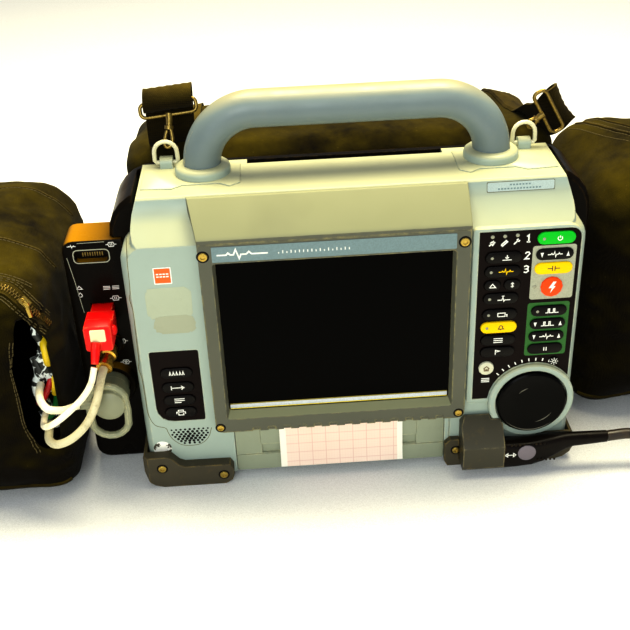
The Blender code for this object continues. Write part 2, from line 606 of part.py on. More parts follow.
PL = (-355.0, -231.5, -20.0, 208.0)
pouch_left = loft("pouch_left", [
    soft_ring(PL[0] + 14, PL[1] - 12, PL[2] + 14, PL[3] - 14, 1.0, 14),
    soft_ring(PL[0] + 3, PL[1] - 3, PL[2] + 3, PL[3] - 3, 10.0, 18),
    soft_ring(PL[0], PL[1], PL[2], PL[3], 40.0, 20),
    soft_ring(PL[0], PL[1] - 2, PL[2], PL[3], 140.0, 24),
    soft_ring(PL[0] + 3, PL[1] - 8, PL[2] + 5, PL[3] - 2, 182.0, 28),
    soft_ring(PL[0] + 12, PL[1] - 18, PL[2] + 16, PL[3] - 9, 198.0, 26),
    soft_ring(PL[0] + 28, PL[1] - 34, PL[2] + 36, PL[3] - 26, 205.0, 20)], M_POUCH)
cut(pouch_left, loft("c", [soft_ring(PL[0] + 14, PL[1] - 8, PL[2] + 8, PL[3] - 14, 13.0, 12, 3),
                           soft_ring(PL[0] + 14, PL[1] - 13, PL[2] + 9, PL[3] - 14, 176.0, 12, 3),
                           soft_ring(PL[0] + 26, PL[1] - 30, PL[2] + 30, PL[3] - 26, 190.0, 8, 3)]))
MOUTH = [(-256, 54), (-242.0, 51), (-240.5, 118), (-243.5, 148), (-252, 172), (-258, 166), (-262, 118),
         (-262, 76)]
cut(pouch_left, prism_y("c", MOUTH, -34, 16))

PR = (196.0, 355.0, 52.0, 214.0)
loft("pouch_right", [
    soft_ring(PR[0] + 12, PR[1] - 12, PR[2] + 11, PR[3] - 12, 4.0, 16),
    soft_ring(PR[0] + 3, PR[1] - 3, PR[2] + 3, PR[3] - 3, 12.0, 20),
    soft_ring(PR[0], PR[1], PR[2], PR[3], 50.0, 24),
    soft_ring(PR[0], PR[1], PR[2], PR[3], 166.0, 26),
    soft_ring(PR[0] + 4, PR[1] - 4, PR[2] + 4, PR[3] - 3, 200.0, 28),
    soft_ring(PR[0] + 14, PR[1] - 12, PR[2] + 13, PR[3] - 12, 218.0, 30),
    soft_ring(PR[0] + 32, PR[1] - 26, PR[2] + 32, PR[3] - 28, 227.0, 24)], M_POUCH)

rear_top = loft("pouch_rear", [
    soft_ring(-172, 170, 108, 226, 202.0, 16),
    soft_ring(-181, 178, 99, 234, 208.0, 20),
    soft_ring(-185, 181, 96, 236, 226.0, 22),
    soft_ring(-182, 178, 99, 234, 243.0, 22),
    soft_ring(-168, 166, 112, 226, 253.5, 20)], M_POUCH)
join(rear_top, loft("p", [
    soft_ring(-160, 160, 170, 222, 122.0, 14),
    soft_ring(-168, 168, 164, 231, 132.0, 20),
    soft_ring(-170, 170, 163.5, 233, 160.0, 22),
    soft_ring(-170, 170, 163.5, 233, 222.0, 22)]))

# ---------------------------------------------------------------- therapy socket, plug and cable
sock = prism_x("therapy_socket", [(-0.3, 8), (-0.3, 48), (-3.5, 50.5), (-8, 47), (-21, 34), (-24, 30),
                                  (-24, 9.5), (-21, 6.4), (-3, 6.4)],
               84.0, 118.6, M_SOCK)
keep(sock, loft("k", [[(x, y, z) for x, z in [(84, 4), (118.6, 4), (118.6, 56), (91, 56),
                                              (84, 44)]] for y in (-30, 5)]))
cut(sock, disc("c", DIAL[0], DIAL[1], RING_R + 0.6, -7.1, 2, n=40))
cut(sock, disc("c", DIAL[0], DIAL[1], 29.8, -12, 2, n=40))
cut(sock, box("c", 109.8, 120, -20.5, -9.5, 12.5, 26.5))
plug_r = []
for x, z0, z1, y0, y1 in [(118.9, 6.6, 31.0, -24.0, -7.4), (128, 6.8, 30.5, -24.0, -7.4),
                          (142, 7.6, 30.6, -23.6, -7.4),
                          (152, 10.0, 32.0, -22.8, -7.4), (162, 14.5, 33.0, -21.6, -8.4), (170, 18.6,
                                                                                           33.6, -20.4,
                                                                                           -9.0),
                          (178, 21.2, 33.4, -19.8, -10.0), (200, 22.9, 33.1, -19.6, -10.4), (206, 23.3,
                                                                                             32.9,
                                                                                             -19.4,
                                                                                             -10.6)]:
    plug_r.append([(x, y, z) for y, z in rrect(y0, y1, z0, z1, min(4.4, (y1 - y0) / 2.2,
                                                                   (z1 - z0) / 2.2), 3)])
plug = loft("therapy_plug", plug_r, M_PLUG)
join(plug, box("p", 110.4, 119.5, -20.0, -10.0, 13.0, 26.0))

COIL = (345.0, -24.0)
COIL_R = 50.0
turned("therapy_coil", (COIL[0], COIL[1], 0), (0, 0, 1),
       [(COIL_R - 13.5, 6.0), (COIL_R - 8.0, 0.4), (COIL_R + 8.0, 0.4), (COIL_R + 13.5, 6.0),
        (COIL_R + 13.5, 12.5),
        (COIL_R + 8.0, 18.4), (COIL_R - 8.0, 18.4), (COIL_R - 13.5, 12.5)], M_CABLE, n=32)
cab = smooth_path([(206.8, -15.0, 28.1), (226, -15.5, 29.6), (246, -19.0, 26.0), (264, -31.0, 16.5),
                   (276, -47.0, 8.0), (288, -64.0, 4.9), (303, -79.0, 4.9), (322, -89.6, 4.9), (343,
                                                                                                -93.4,
                                                                                                4.9),
                                                                                                (360,
                                                                                                 -91.8,
                                                                                                 4.9)],
                                                                                                 11.0)
tube("therapy_cable", cab, CABLE_R, M_CABLE, n=10)
con = plate("pads_connector", 418, 452, 0.4, 19.0, -66, -6, 4.0, 2.0, M_PADC, n=3, back_b=2.0)
join(con, turned("s", (435, -65, 9.0), (-0.35, -1.0, -0.10), [(0, 0), (7.0, 0), (6.6, 6), (5.0, 20),
                                                              (0, 20)], n=12))

# sensor leads into the left pouch
tube("spo2_cable", smooth_path([(-205.0, -18.7, 130.4), (-208.5, -23.5, 119.0), (-216.5, -26.0, 107.5),
                                (-228.5, -31.0, 98.0), (-240.0, -33.0, 90.0),
                                (-249.5, -27.0, 83.0), (-253.0, -13.0, 79.5), (-254.0, 2.0,
                                                                               78.0)], 7.0), 2.6,
                                                                               M_CREAM, n=8)
tube("nibp_hose", smooth_path([(-202.6, 3.1, 114.3), (-204.0, -5.0, 111.6), (-208.5, -19.0, 97.0),
                               (-217.0, -25.5, 82.5), (-229.5, -29.5, 72.0),
                               (-242.0, -29.5, 67.0), (-249.5, -22.0, 66.0), (-252.0, -10.0,
                                                                              65.5),
                                                                              (-252.5, 2.0, 65.0)],
                                                                              8.0), 3.4, M_CREAM, n=8)
tube("ecg_cable", smooth_path([(-226.0, -5.5, 86.2), (-229.5, -8.2, 87.1), (-233.6, -14.5, 89.5),
                               (-238.0, -20.0, 93.0), (-245.0, -24.0, 97.5), (-251.0, -18.0, 101.5),
                               (-253.6, -8.0, 103.5), (-254.0, 2.0, 104.0)], 6.0), 3.1,
     M_GREYC, n=8)

# ---------------------------------------------------------------- corner bumpers
bl = prism_y("bumper_left", [(-166, 0), (-114, 0), (-108.5, 3.5), (-106.8, 8), (-106.8, 15),
                             (-109.5, 19.6), (-147, 20),
                             (-151.5, 22), (-157.5, 29), (-161, 30.8), (-180.6, 30.8), (-181.6,
                                                                                        28),
                                                                                        (-181.6, 14),
                                                                                        (-178.5, 6.5),
                                                                                        (-173, 2)],
                                                                                        -9.6, 31, M_BUMP)
keep(bl, loft("k", [[(-177.6, -10, -2), (-100, -10, -2), (-100, -10, 40), (-177.6, -10, 40)],
                    [(-177.6, -9.6, -2), (-100, -9.6, -2), (-100, -9.6, 40), (-177.6, -9.6, 40)],
                    [(-181.6, -4.6, -2), (-100, -4.6, -2), (-100, -4.6, 40), (-181.6, -4.6, 40)],
                    [(-181.6, 32, -2), (-100, 32, -2), (-100, 32, 40), (-181.6, 32, 40)]]))
cut(bl, loft("c", [[(x, y, z) for x, _, z in case_outline(0, -0.3 + ins)] for y, ins in
                   ((-0.3, 6.0), (2.7, 2.6), (7.7, 0.6), (11.7, 0), (40, 0))]))
cut(bl, box("c", -178.3, -100, -0.3, 40, CASE_BOTTOM - 0.3, 60))
br = prism_y("bumper_right", [(74, 0), (166, 0), (173, 2), (178.5, 6.5), (181.4, 13), (181.4, 23.5),
                              (178.5, 26), (152, 26), (149, 23), (149, 5.9), (83.6, 5.9), (83.6, 7.5),
                              (83.6, 27), (76, 27), (71.4, 22.5), (71.4, 5)], -5.6, 31, M_BUMP)
cut(br, box("c", 60, 178.3, -0.3, 40, CASE_BOTTOM - 0.3, 60))
cut(br, disc("c", DIAL[0], DIAL[1], RING_R + 0.6, -8, 2, n=40))

# ---------------------------------------------------------------- inside and back
turned("energy_capacitor", (60, 78, 46), (1, 0, 0), [(0, 0), (22, 0), (24, 2), (24, 84), (22, 86),
                                                     (0, 86)], M_CAP, n=24)
for nm, s in (("battery_left", -1), ("battery_right", 1)):
    x0, x1 = sorted((s * 8.6, s * 83.4))
    b = plate(nm, x0, x1, 22.6, 113.4, 121.0, 166.0, 3.0, 0.0, M_BATT, n=2, back_b=2.0)
    cut(b, prism_y("c", rrect(x0 + 20, x1 - 20, 96.0, 106.0, 4.0, 2), 161.0, 168.0))
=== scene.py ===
"""Looks of a portable monitor and defibrillator with three soft pouches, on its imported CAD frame."""
import math
import random

import bmesh
import bpy
from mathutils import Matrix, Vector, noise
from mathutils.bvhtree import BVHTree


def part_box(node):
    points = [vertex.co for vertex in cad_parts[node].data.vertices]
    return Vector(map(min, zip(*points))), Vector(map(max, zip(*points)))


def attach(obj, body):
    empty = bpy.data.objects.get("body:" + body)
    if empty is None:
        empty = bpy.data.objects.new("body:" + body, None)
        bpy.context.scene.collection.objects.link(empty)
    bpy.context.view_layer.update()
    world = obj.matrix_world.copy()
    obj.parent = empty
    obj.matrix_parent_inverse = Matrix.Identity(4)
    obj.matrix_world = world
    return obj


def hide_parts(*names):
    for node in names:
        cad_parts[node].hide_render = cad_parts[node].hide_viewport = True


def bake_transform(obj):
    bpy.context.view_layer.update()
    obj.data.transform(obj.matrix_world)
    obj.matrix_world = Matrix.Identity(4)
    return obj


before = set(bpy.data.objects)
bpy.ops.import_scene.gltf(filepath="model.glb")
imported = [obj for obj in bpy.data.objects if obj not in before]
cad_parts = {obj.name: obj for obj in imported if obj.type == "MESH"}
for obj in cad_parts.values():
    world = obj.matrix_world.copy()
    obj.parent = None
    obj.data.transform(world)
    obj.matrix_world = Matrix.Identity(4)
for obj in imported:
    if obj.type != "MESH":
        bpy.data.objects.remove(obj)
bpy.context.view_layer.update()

MM = 0.001
RING_PROUD = 6.5                # the dial's ring stands this far before the panel
PANEL_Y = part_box("front_case")[0].y + RING_PROUD * MM      # plane of the front panel in the row frame


def at(x, y, z):
    """A point given in mm: x right, y back from the front panel, z up."""
    return Vector((x * MM, PANEL_Y + y * MM, z * MM))


def mm_of(place):
    """A place in the row frame, in the same mm as at()."""
    return Vector((place.x / MM, (place.y - PANEL_Y) / MM, place.z / MM))


def box_mm(node):
    """A CAD node's lowest and highest corner in mm."""
    return [mm_of(corner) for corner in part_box(node)]


def middle_of(node):
    """Where the middle of a CAD node is from the front, in mm."""
    low, high = box_mm(node)
    return (low.x + high.x) / 2, (low.z + high.z) / 2


def clamped(value, low, high):
    """How far a value is on its way from low to high, from 0 to 1."""
    return min(1.0, max(0.0, (value - low) / (high - low)))


def shown(name, data):
    """A new object in the scene for a mesh, a curve, a lamp or a camera."""
    thing = bpy.data.objects.new(name, data)
    bpy.context.scene.collection.objects.link(thing)
    return thing


# ---- camera and lamps
def make_camera():
    """Standing a little left of the middle and looking down at the front, turned a little on its axis."""
    place, lens_px, picture_px, sensor_mm = (-54.5, -694.2, 571.1), 1040.0, 630.0, 36.0
    down, aside, roll = math.radians(31), math.radians(2.3), math.radians(-2.3)
    back = Vector((-math.sin(aside) * math.cos(down), -math.cos(aside) * math.cos(down), math.sin(down)))
    right = (-back).cross(Vector((0, 0, 1))).normalized()
    up = right.cross(-back)
    rolled_right = right * math.cos(roll) + up * math.sin(roll)
    rolled_up = up * math.cos(roll) - right * math.sin(roll)
    camera = shown("camera", bpy.data.cameras.new("camera"))
    axes = Matrix((rolled_right, rolled_up, back)).transposed().to_4x4()
    camera.matrix_world = Matrix.Translation(at(*place)) @ axes
    camera.data.sensor_width = sensor_mm
    camera.data.lens = sensor_mm * lens_px / picture_px
    camera.data.shift_x = -8.0 / picture_px
    camera.data.clip_end = 20.0
    bpy.context.scene.camera = camera


def area_light(name, place, target, size, watts, colour):
    lamp = bpy.data.lights.new(name, "AREA")
    lamp.shape = "RECTANGLE"
    lamp.size, lamp.size_y = size
    lamp.energy = watts
    lamp.color = colour
    holder = shown(name, lamp)
    holder.location = place
    holder.rotation_euler = (Vector(target) - Vector(place)).to_track_quat("-Z", "Y").to_euler()


# ---- materials
class Nodes:
    """Short names for the nodes that the materials here use."""

    def __init__(self, name, rough=0.5, metal=0.0, coat=0.0, sheen=0.0, specular=0.5):
        self.material = bpy.data.materials.new(name)
        self.material.use_nodes = True
        self.tree = self.material.node_tree
        self.shader = self.tree.nodes["Principled BSDF"]
        self.fill(self.shader, {"Roughness": rough, "Metallic": metal, "Coat Weight": coat,
                                "Coat Roughness": 0.12, "Sheen Weight": sheen,
                                "Specular IOR Level": specular})
        self.place = self.add("TexCoord").outputs["Object"]

    def fill(self, node, sockets):
        """Feeds sockets, by name or number, from other sockets, numbers or colours."""
        for key, value in sockets.items():
            socket = node.inputs[key]
            if isinstance(value, bpy.types.NodeSocket):
                self.tree.links.new(value, socket)
            elif value is not None:
                socket.default_value = (*value, 1.0) if socket.type == "RGBA" else value
        return node

    def add(self, kind, sockets=None, **settings):
        node = self.tree.nodes.new("ShaderNode" + kind)
        for key, value in settings.items():
            setattr(node, key, value)
        return self.fill(node, sockets or {})

    def scaled(self, stretch, turn):
        return self.add("Mapping", {"Vector": self.place, "Scale": stretch, "Rotation": turn}).outputs[0]

    def noise(self, size_mm, detail=3.0, rough=0.55, where=None, distortion=0.0):
        return self.add("TexNoise", {"Vector": where or self.place, "Scale": 1000.0 / size_mm,
                                     "Detail": detail, "Roughness": rough,
                                     "Distortion": distortion}).outputs["Fac"]

    def cells(self, size_mm):
        return self.add("TexVoronoi", {"Vector": self.place, "Scale": 1000.0 / size_mm}).outputs["Distance"]

    def maths(self, operation, a, b=0.0):
        return self.add("Math", {0: a, 1: b}, operation=operation).outputs[0]

    def times(self, a, b):
        return self.maths("MULTIPLY", a, b)

    def window(self, value, low, high, out_low=0.0, out_high=1.0):
        return self.add("MapRange", dict(enumerate((value, low, high, out_low, out_high)))).outputs[0]

    def mix(self, share, a, b):
        return self.add("Mix", {0: share, 6: a, 7: b}, data_type="RGBA").outputs[2]

    def axis(self, name, source=None):
        return self.add("SeparateXYZ", {0: source or self.place}).outputs[name]

    def true_normal(self):
        return self.add("NewGeometry").outputs["Normal"]

    def soft_edge(self, radius_mm):
        return self.add("Bevel", {"Radius": radius_mm * MM}, samples=4).outputs[0]

    def bump(self, height, depth_mm, normal=None):
        return self.add("Bump", {"Strength": 1.0, "Distance": depth_mm * MM, "Height": height,
                                 "Normal": normal}).outputs[0]

    def wear(self, radius_mm=2.0):
        """1 along worn outer edges, 0 on flat faces: how far the eased normal leans off the true one."""
        dot = self.add("VectorMath", {0: self.soft_edge(radius_mm), 1: self.true_normal()},
                       operation="DOT_PRODUCT")
        return self.window(dot.outputs["Value"], 0.995, 0.90)

    def done(self, colour, normal=None, rough=None):
        self.fill(self.shader, {"Base Color": colour, "Normal": normal, "Roughness": rough})
        return self.material


def moulded(name, colour, rough=0.45, worn=None, grain_mm=0.7, grain_depth=0.02, ease=0.8, mottle=0.12,
            coat=0.0, dirt=(0.16, 0.13, 0.08), dirt_share=0.25, specular=0.5, top=None):
    """Moulded plastic or rubber: spark-eroded grain, eased edges, uneven colour, grime and worn edges.

    top is a painted top light, for the light falling from above: the colour of what faces up, the upward
    share where it begins and is full, and the distance from the middle in mm where it begins and is full,
    or zeros for everywhere.
    """
    n = Nodes(name, rough, coat=coat, specular=specular)
    dark = tuple(c * (1 - mottle) for c in colour)
    light = tuple(min(1.0, c * (1 + mottle)) for c in colour)
    base = n.mix(n.noise(38, 4), dark, light)
    smudge = n.window(n.noise(11, 6, 0.7), 0.56, 0.78, 0.0, dirt_share)
    base = n.mix(smudge, base, tuple((c + d) / 2 for c, d in zip(colour, dirt)))
    specks = n.window(n.cells(2.6), 0.10, 0.03, 0.0, dirt_share * 0.8)
    base = n.mix(specks, base, dirt)
    if worn is not None:
        patchy = n.times(n.wear(), n.window(n.noise(7, 4), 0.40, 0.62))
        base = n.mix(patchy, base, worn)
    # Painted top light: faces that look up are mixed towards the top colour, standing for light falling from
    # above.
    if top is not None:
        upward = n.axis("Z", n.add("TexCoord").outputs["Normal"])
        pale, least, most, inner, outer = top
        share = n.window(upward, least, most)
        if outer > 0:
            sideways = n.maths("ABSOLUTE", n.axis("X"))
            share = n.times(share, n.window(sideways, inner * MM, outer * MM))
        base = n.mix(n.times(share, n.window(n.noise(70), 0.1, 0.5, 0.75, 1.0)), base, pale)
    grain = n.bump(n.noise(grain_mm, 2), grain_depth, n.soft_edge(ease))
    uneven = n.window(n.noise(20, 4), 0.3, 0.7, max(rough - 0.08, 0.02), rough + 0.10)
    return n.done(base, grain, uneven)


def key_plastic(name, colour, rough, mottle, dirt_share, specular, ease=0.9):
    return moulded(name, colour, rough, None, 0.5, 0.010, ease, mottle, dirt_share=dirt_share,
                   specular=specular)


def woven(name, low, high, thread_mm, depth, dust, dust_and_toplight_share, rough=0.9):
    """Textured nylon: over-and-under threads, lint, and patchy upward dust, partly painted top light."""
    n = Nodes(name, rough, sheen=0.03, specular=0.06)
    n.shader.inputs["Sheen Roughness"].default_value = 0.5
    jitter = n.add("TexNoise", {"Vector": n.place, "Scale": 160.0}).outputs["Color"]
    shift = n.add("VectorMath", {0: jitter, "Scale": 0.0009}, operation="SCALE").outputs[0]
    warped = n.add("VectorMath", {0: n.place, 1: shift}, operation="ADD").outputs[0]
    turns = 2 * math.pi / (thread_mm * MM)
    threads = [n.maths("SINE", n.times(n.axis(a, warped), turns)) for a in "XYZ"]
    lattice = n.times(threads[0], threads[2])
    across = n.times(threads[1], n.maths("ADD", threads[0], threads[2]))
    weave = n.window(n.maths("ADD", lattice, across), -1.2, 1.2)
    faded = n.window(n.noise(60, 5, 0.65), 0.32, 0.70)
    # Upward faces get more of the dust colour: partly dust, partly a painted top light.
    lit = n.window(n.axis("Z", n.true_normal()), -0.1, 0.9)
    base = n.mix(n.times(weave, 0.55), low, high)
    base = n.mix(n.times(n.times(faded, lit), dust_and_toplight_share), base, dust)
    lint = n.window(n.cells(4.5), 0.075, 0.03, 0.0, 0.55)
    base = n.mix(n.times(lint, n.window(n.noise(30), 0.5, 0.6)), base, (0.24, 0.18, 0.05))
    return n.done(base, n.bump(weave, depth, n.bump(n.noise(9, 4), 0.35)))


def metal(name, colour, rough=0.3, patina=(0.10, 0.07, 0.03), share=0.5):
    n = Nodes(name, rough, metal=1.0)
    spots = n.window(n.noise(1.6, 5, 0.7), 0.48, 0.72, 0.0, share)
    scratch = n.noise(1.2, 3, 0.6, n.scaled((1, 1, 9), (0.4, 0.3, 0.2)))
    return n.done(n.mix(spots, colour, patina), n.bump(scratch, 0.02, n.soft_edge(0.25)),
                  n.window(scratch, 0.3, 0.7, rough * 0.7, rough * 1.6))


def printed(name, colour, rough=0.5):
    """Silk-screened ink or a small label, slightly uneven."""
    n = Nodes(name, rough)
    faint = tuple(c * 0.82 for c in colour)
    return n.done(n.mix(n.window(n.noise(0.9, 4), 0.35, 0.65), faint, colour), n.bump(n.noise(0.4, 2), 0.01))


def jacket(name, colour, soil, rough=0.45):
    """Cable jacket: smooth extruded rubber with handling marks."""
    n = Nodes(name, rough)
    marks = n.window(n.noise(9, 6, 0.7), 0.5, 0.72, 0.0, 0.7)
    fine = n.window(n.noise(1.6, 4, 0.7), 0.62, 0.75, 0.0, 0.35)
    base = n.mix(fine, n.mix(marks, colour, soil), soil)
    gloss = n.window(n.noise(12, 3), 0.3, 0.7, rough - 0.1, rough + 0.12)
    return n.done(base, n.bump(n.noise(0.5, 2), 0.012), gloss)


def glossy_black(name, tint, specular, rough):
    """Polished cover glass or a lacquered dial, with faint dust and finger marks in its gloss."""
    n = Nodes(name, rough, specular=specular)
    dust = n.window(n.cells(3.4), 0.035, 0.012, 0.0, 0.15)
    smear = n.window(n.noise(34, 5, 0.6, n.scaled((1, 1, 0.35), (0, 0.5, 0))), 0.5, 0.75)
    return n.done(n.mix(dust, tint, (0.25, 0.23, 0.18)), n.soft_edge(0.4),
                  n.window(smear, 0.0, 1.0, rough, rough + 0.12))


def chart_paper(name):
    """Thermal paper with plain pale margins and a pink grid, heavier at every fifth and fourth line."""
    n = Nodes(name, 0.75)
    base = n.mix(n.noise(50, 3), (0.86, 0.66, 0.54), (0.93, 0.77, 0.66))

    def lines(axis, pitch_mm, width):
        phase = n.maths("FRACT", n.times(n.axis(axis), 1.0 / (pitch_mm * MM)))
        return n.window(n.maths("ABSOLUTE", n.maths("SUBTRACT", phase, 0.5)), width, width * 0.4)
    heavy = n.maths("MAXIMUM", lines("X", 11.4, 0.035), lines("Z", 8.8, 0.045))
    light = n.maths("MAXIMUM", lines("X", 2.28, 0.06), lines("Z", 2.2, 0.06))
    base = n.mix(n.times(light, 0.16), base, (0.72, 0.36, 0.30))
    base = n.mix(n.times(heavy, 0.42), base, (0.62, 0.27, 0.22))
    low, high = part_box("paper_strip")
    rim = n.maths("MAXIMUM", n.window(n.axis("X"), low.x + 5.5 * MM, low.x + 5.0 * MM),
                  n.window(n.axis("X"), high.x - 4.8 * MM, high.x - 4.3 * MM))
    base = n.mix(rim, base, (0.93, 0.88, 0.76))
    return n.done(base, n.bump(n.noise(0.6, 3), 0.02), 0.75)


# The case's top colour is a painted cream top light on its upward faces, the deck above all.
CASE = moulded("case_plastic", (0.355, 0.43, 0.375), 0.42, (0.60, 0.60, 0.42), 0.8, 0.03, 1.2, 0.06,
               dirt_share=0.16, top=((0.42, 0.425, 0.275), 0.3, 0.8, 0.0, 0.0))
# The rear plastic's top colour is a painted warm reflection on the upward faces of its shoulders and of the
# connector panel, 172 to 215 mm out from the middle.
REAR = moulded("rear_plastic", (0.0045, 0.0032, 0.002), 0.30, (0.035, 0.02, 0.005), 0.9, 0.02, 1.4, 0.3,
               dirt=(0.09, 0.06, 0.01), dirt_share=0.08, specular=0.05,
               top=((0.34, 0.16, 0.002), 0.55, 0.95, 172.0, 215.0))
# The bezel's top colour is a painted top light, paler on the hood and other upward faces.
BEZEL = moulded("bezel_plastic", (0.108, 0.110, 0.080), 0.46, (0.34, 0.30, 0.13), 0.7, 0.03, 1.1, 0.08,
                dirt_share=0.2, specular=0.3, top=((0.26, 0.265, 0.155), 0.25, 0.6, 0.0, 0.0))
FILM = moulded("overlay_film", (0.006, 0.0025, 0.002), 0.40, None, 0.5, 0.012, 0.5, 0.2, dirt_share=0.05,
               specular=0.08)
KEY_BLACK = key_plastic("key_black", (0.0025, 0.0016, 0.0014), 0.30, 0.2, 0.04, 0.14)
KEY_GREEN = key_plastic("key_green", (0.002, 0.50, 0.022), 0.34, 0.1, 0.05, 0.15)
KEY_YELLOW = key_plastic("key_yellow", (0.95, 0.62, 0.002), 0.40, 0.08, 0.03, 0.08)
KEY_ORANGE = key_plastic("key_orange", (0.98, 0.075, 0.001), 0.34, 0.08, 0.03, 0.2, ease=1.2)
KEY_SILVER = key_plastic("key_silver", (0.62, 0.61, 0.46), 0.35, 0.08, 0.3, 0.5)
DIAL_BLACK = glossy_black("dial_plastic", (0.0015, 0.0013, 0.0011), 0.07, 0.18)
GLASS = glossy_black("screen_glass", (0.0008, 0.0007, 0.0006), 0.03, 0.12)
# The handle's top colour is a painted cream highlight along the top of the grip.
HANDLE = moulded("handle_rubber", (0.172, 0.218, 0.226), 0.42, (0.48, 0.43, 0.24), 0.9, 0.05, 1.0, 0.14,
                 dirt=(0.34, 0.33, 0.22), dirt_share=0.28, top=((0.30, 0.28, 0.17), 0.55, 0.98, 0.0, 0.0))
BUMPER = moulded("bumper_rubber", (0.062, 0.052, 0.030), 0.55, (0.24, 0.17, 0.05), 1.0, 0.07, 1.6, 0.18,
                 dirt=(0.20, 0.13, 0.03), dirt_share=0.5, specular=0.3)
DOOR = moulded("door_plastic", (0.30, 0.33, 0.235), 0.45, (0.50, 0.48, 0.30), 0.8, 0.03, 0.5, 0.08,
               dirt=(0.12, 0.10, 0.04), dirt_share=0.35)
SOCKET = moulded("socket_plastic", (0.055, 0.050, 0.032), 0.40, (0.34, 0.28, 0.14), 0.9, 0.05, 1.2, 0.2,
                 dirt=(0.22, 0.15, 0.03), dirt_share=0.5, specular=0.3)
PLUG = moulded("therapy_plug_plastic", (0.004, 0.002, 0.0012), 0.34, (0.05, 0.03, 0.01), 0.8, 0.03, 1.6,
               0.25, dirt=(0.09, 0.05, 0.01), dirt_share=0.12, specular=0.12)
RED = moulded("spo2_plug_plastic", (0.74, 0.003, 0.003), 0.34, (0.95, 0.14, 0.06), 0.6, 0.012, 0.9, 0.08,
              dirt_share=0.03, specular=0.25)
ECG_GREY = moulded("ecg_plug_plastic", (0.25, 0.26, 0.17), 0.40, (0.62, 0.57, 0.32), 0.8, 0.03, 1.2, 0.15,
                   dirt=(0.22, 0.17, 0.03), dirt_share=0.5)
PADS_GREY = moulded("pads_connector_plastic", (0.17, 0.18, 0.18), 0.42, (0.30, 0.30, 0.28), 0.8, 0.03, 1.4,
                    0.1)
BATTERY = moulded("battery_plastic", (0.045, 0.045, 0.050), 0.42, (0.14, 0.14, 0.13), 0.8, 0.04, 1.0, 0.15,
                  specular=0.3)
LATCH = moulded("latch_plastic", (0.80, 0.72, 0.44), 0.40, (0.90, 0.84, 0.62), 0.6, 0.02, 0.5, 0.08)
ROLLER = moulded("roller_rubber", (0.02, 0.02, 0.02), 0.7, None, 0.8, 0.05, 0.4)
BOARD = moulded("board_green", (0.02, 0.14, 0.05), 0.4, None, 0.8, 0.02, 0.2)
SLEEVE = moulded("capacitor_sleeve", (0.03, 0.05, 0.15), 0.35, None, 0.8, 0.02, 0.8)
LCD = metal("lcd_frame", (0.35, 0.35, 0.36), 0.4)
STEEL = metal("shaft_steel", (0.50, 0.50, 0.50), 0.3)
BRASS = metal("brass_fitting", (0.86, 0.52, 0.09), 0.26, (0.16, 0.07, 0.006), 0.6)
SCREW_BRASS = metal("screw_brass", (0.50, 0.36, 0.09), 0.24, (0.10, 0.06, 0.01), 0.5)
DARK_BRASS = metal("worn_brass", (0.30, 0.215, 0.065), 0.32, (0.05, 0.022, 0.004), 0.8)
RING_METAL = moulded("ring_metal", (0.72, 0.68, 0.46), 0.32, (0.85, 0.80, 0.60), 0.8, 0.02, 0.3, 0.12,
                     dirt=(0.25, 0.20, 0.07), dirt_share=0.5)
PAPER = chart_paper("chart_paper")
CREAM = jacket("cream_cable_jacket", (0.97, 0.91, 0.70), (0.66, 0.54, 0.26), 0.40)
GREY_JACKET = jacket("grey_cable_jacket", (0.66, 0.61, 0.40), (0.32, 0.25, 0.10), 0.45)
BLACK_JACKET = jacket("therapy_cable_jacket", (0.016, 0.009, 0.004), (0.05, 0.028, 0.008), 0.38)
# The dust colours of the pouch fabric and the webbing also carry a painted top light where they face up.
NYLON = woven("pouch_fabric", (0.0014, 0.0009, 0.0002), (0.0125, 0.0075, 0.0009), 1.1, 0.16,
              (0.064, 0.047, 0.0008), 0.9)
WEBBING = woven("webbing", (0.004, 0.0025, 0.0008), (0.050, 0.034, 0.006), 1.5, 0.30, (0.14, 0.10, 0.012),
                0.7)
THREAD = printed("thread", (0.10, 0.075, 0.02), 0.8)
WHITE_INK = printed("white_ink", (0.90, 0.90, 0.84))
DARK_INK = printed("dark_ink", (0.14, 0.075, 0.012))
SEAM_INK = printed("seam_shadow", (0.13, 0.115, 0.045))
GREY_INK = printed("grey_ink", (0.42, 0.43, 0.32))
GREEN_INK = printed("green_ink", (0.010, 0.135, 0.008))
LABEL_ORANGE = printed("label_orange", (0.95, 0.14, 0.002))
PALE_INK = printed("pale_label", (0.50, 0.60, 0.58))
BLUE_INK = printed("blue_grey_ink", (0.190, 0.275, 0.290))

NODE_LOOKS = {
    CASE: ["front_case"], REAR: ["rear_case", "connector_panel"], BEZEL: ["display_bezel"],
    GLASS: ["display_window"], LCD: ["lcd_module"], FILM: ["key_overlay_right", "key_overlay_left"],
    KEY_GREEN: ["key_on"], KEY_YELLOW: ["key_charge", "key_alarms"], KEY_ORANGE: ["key_shock"],
    KEY_SILVER: ["key_home"], DIAL_BLACK: ["speed_dial"], STEEL: ["encoder_plunger"], HANDLE: ["handle"],
    BUMPER: ["bumper_left", "bumper_right"], PAPER: ["paper_strip", "paper_roll"], SOCKET: ["therapy_socket"],
    PLUG: ["therapy_plug"], RED: ["spo2_plug"], BRASS: ["nibp_fitting"], ECG_GREY: ["ecg_plug"],
    RING_METAL: ["strap_ring_left", "strap_ring_right"], BOARD: ["system_board"],
    SLEEVE: ["energy_capacitor"], BATTERY: ["battery_left", "battery_right"], ROLLER: ["platen_roller"],
    DOOR: ["printer_door"], PADS_GREY: ["pads_connector"],
}


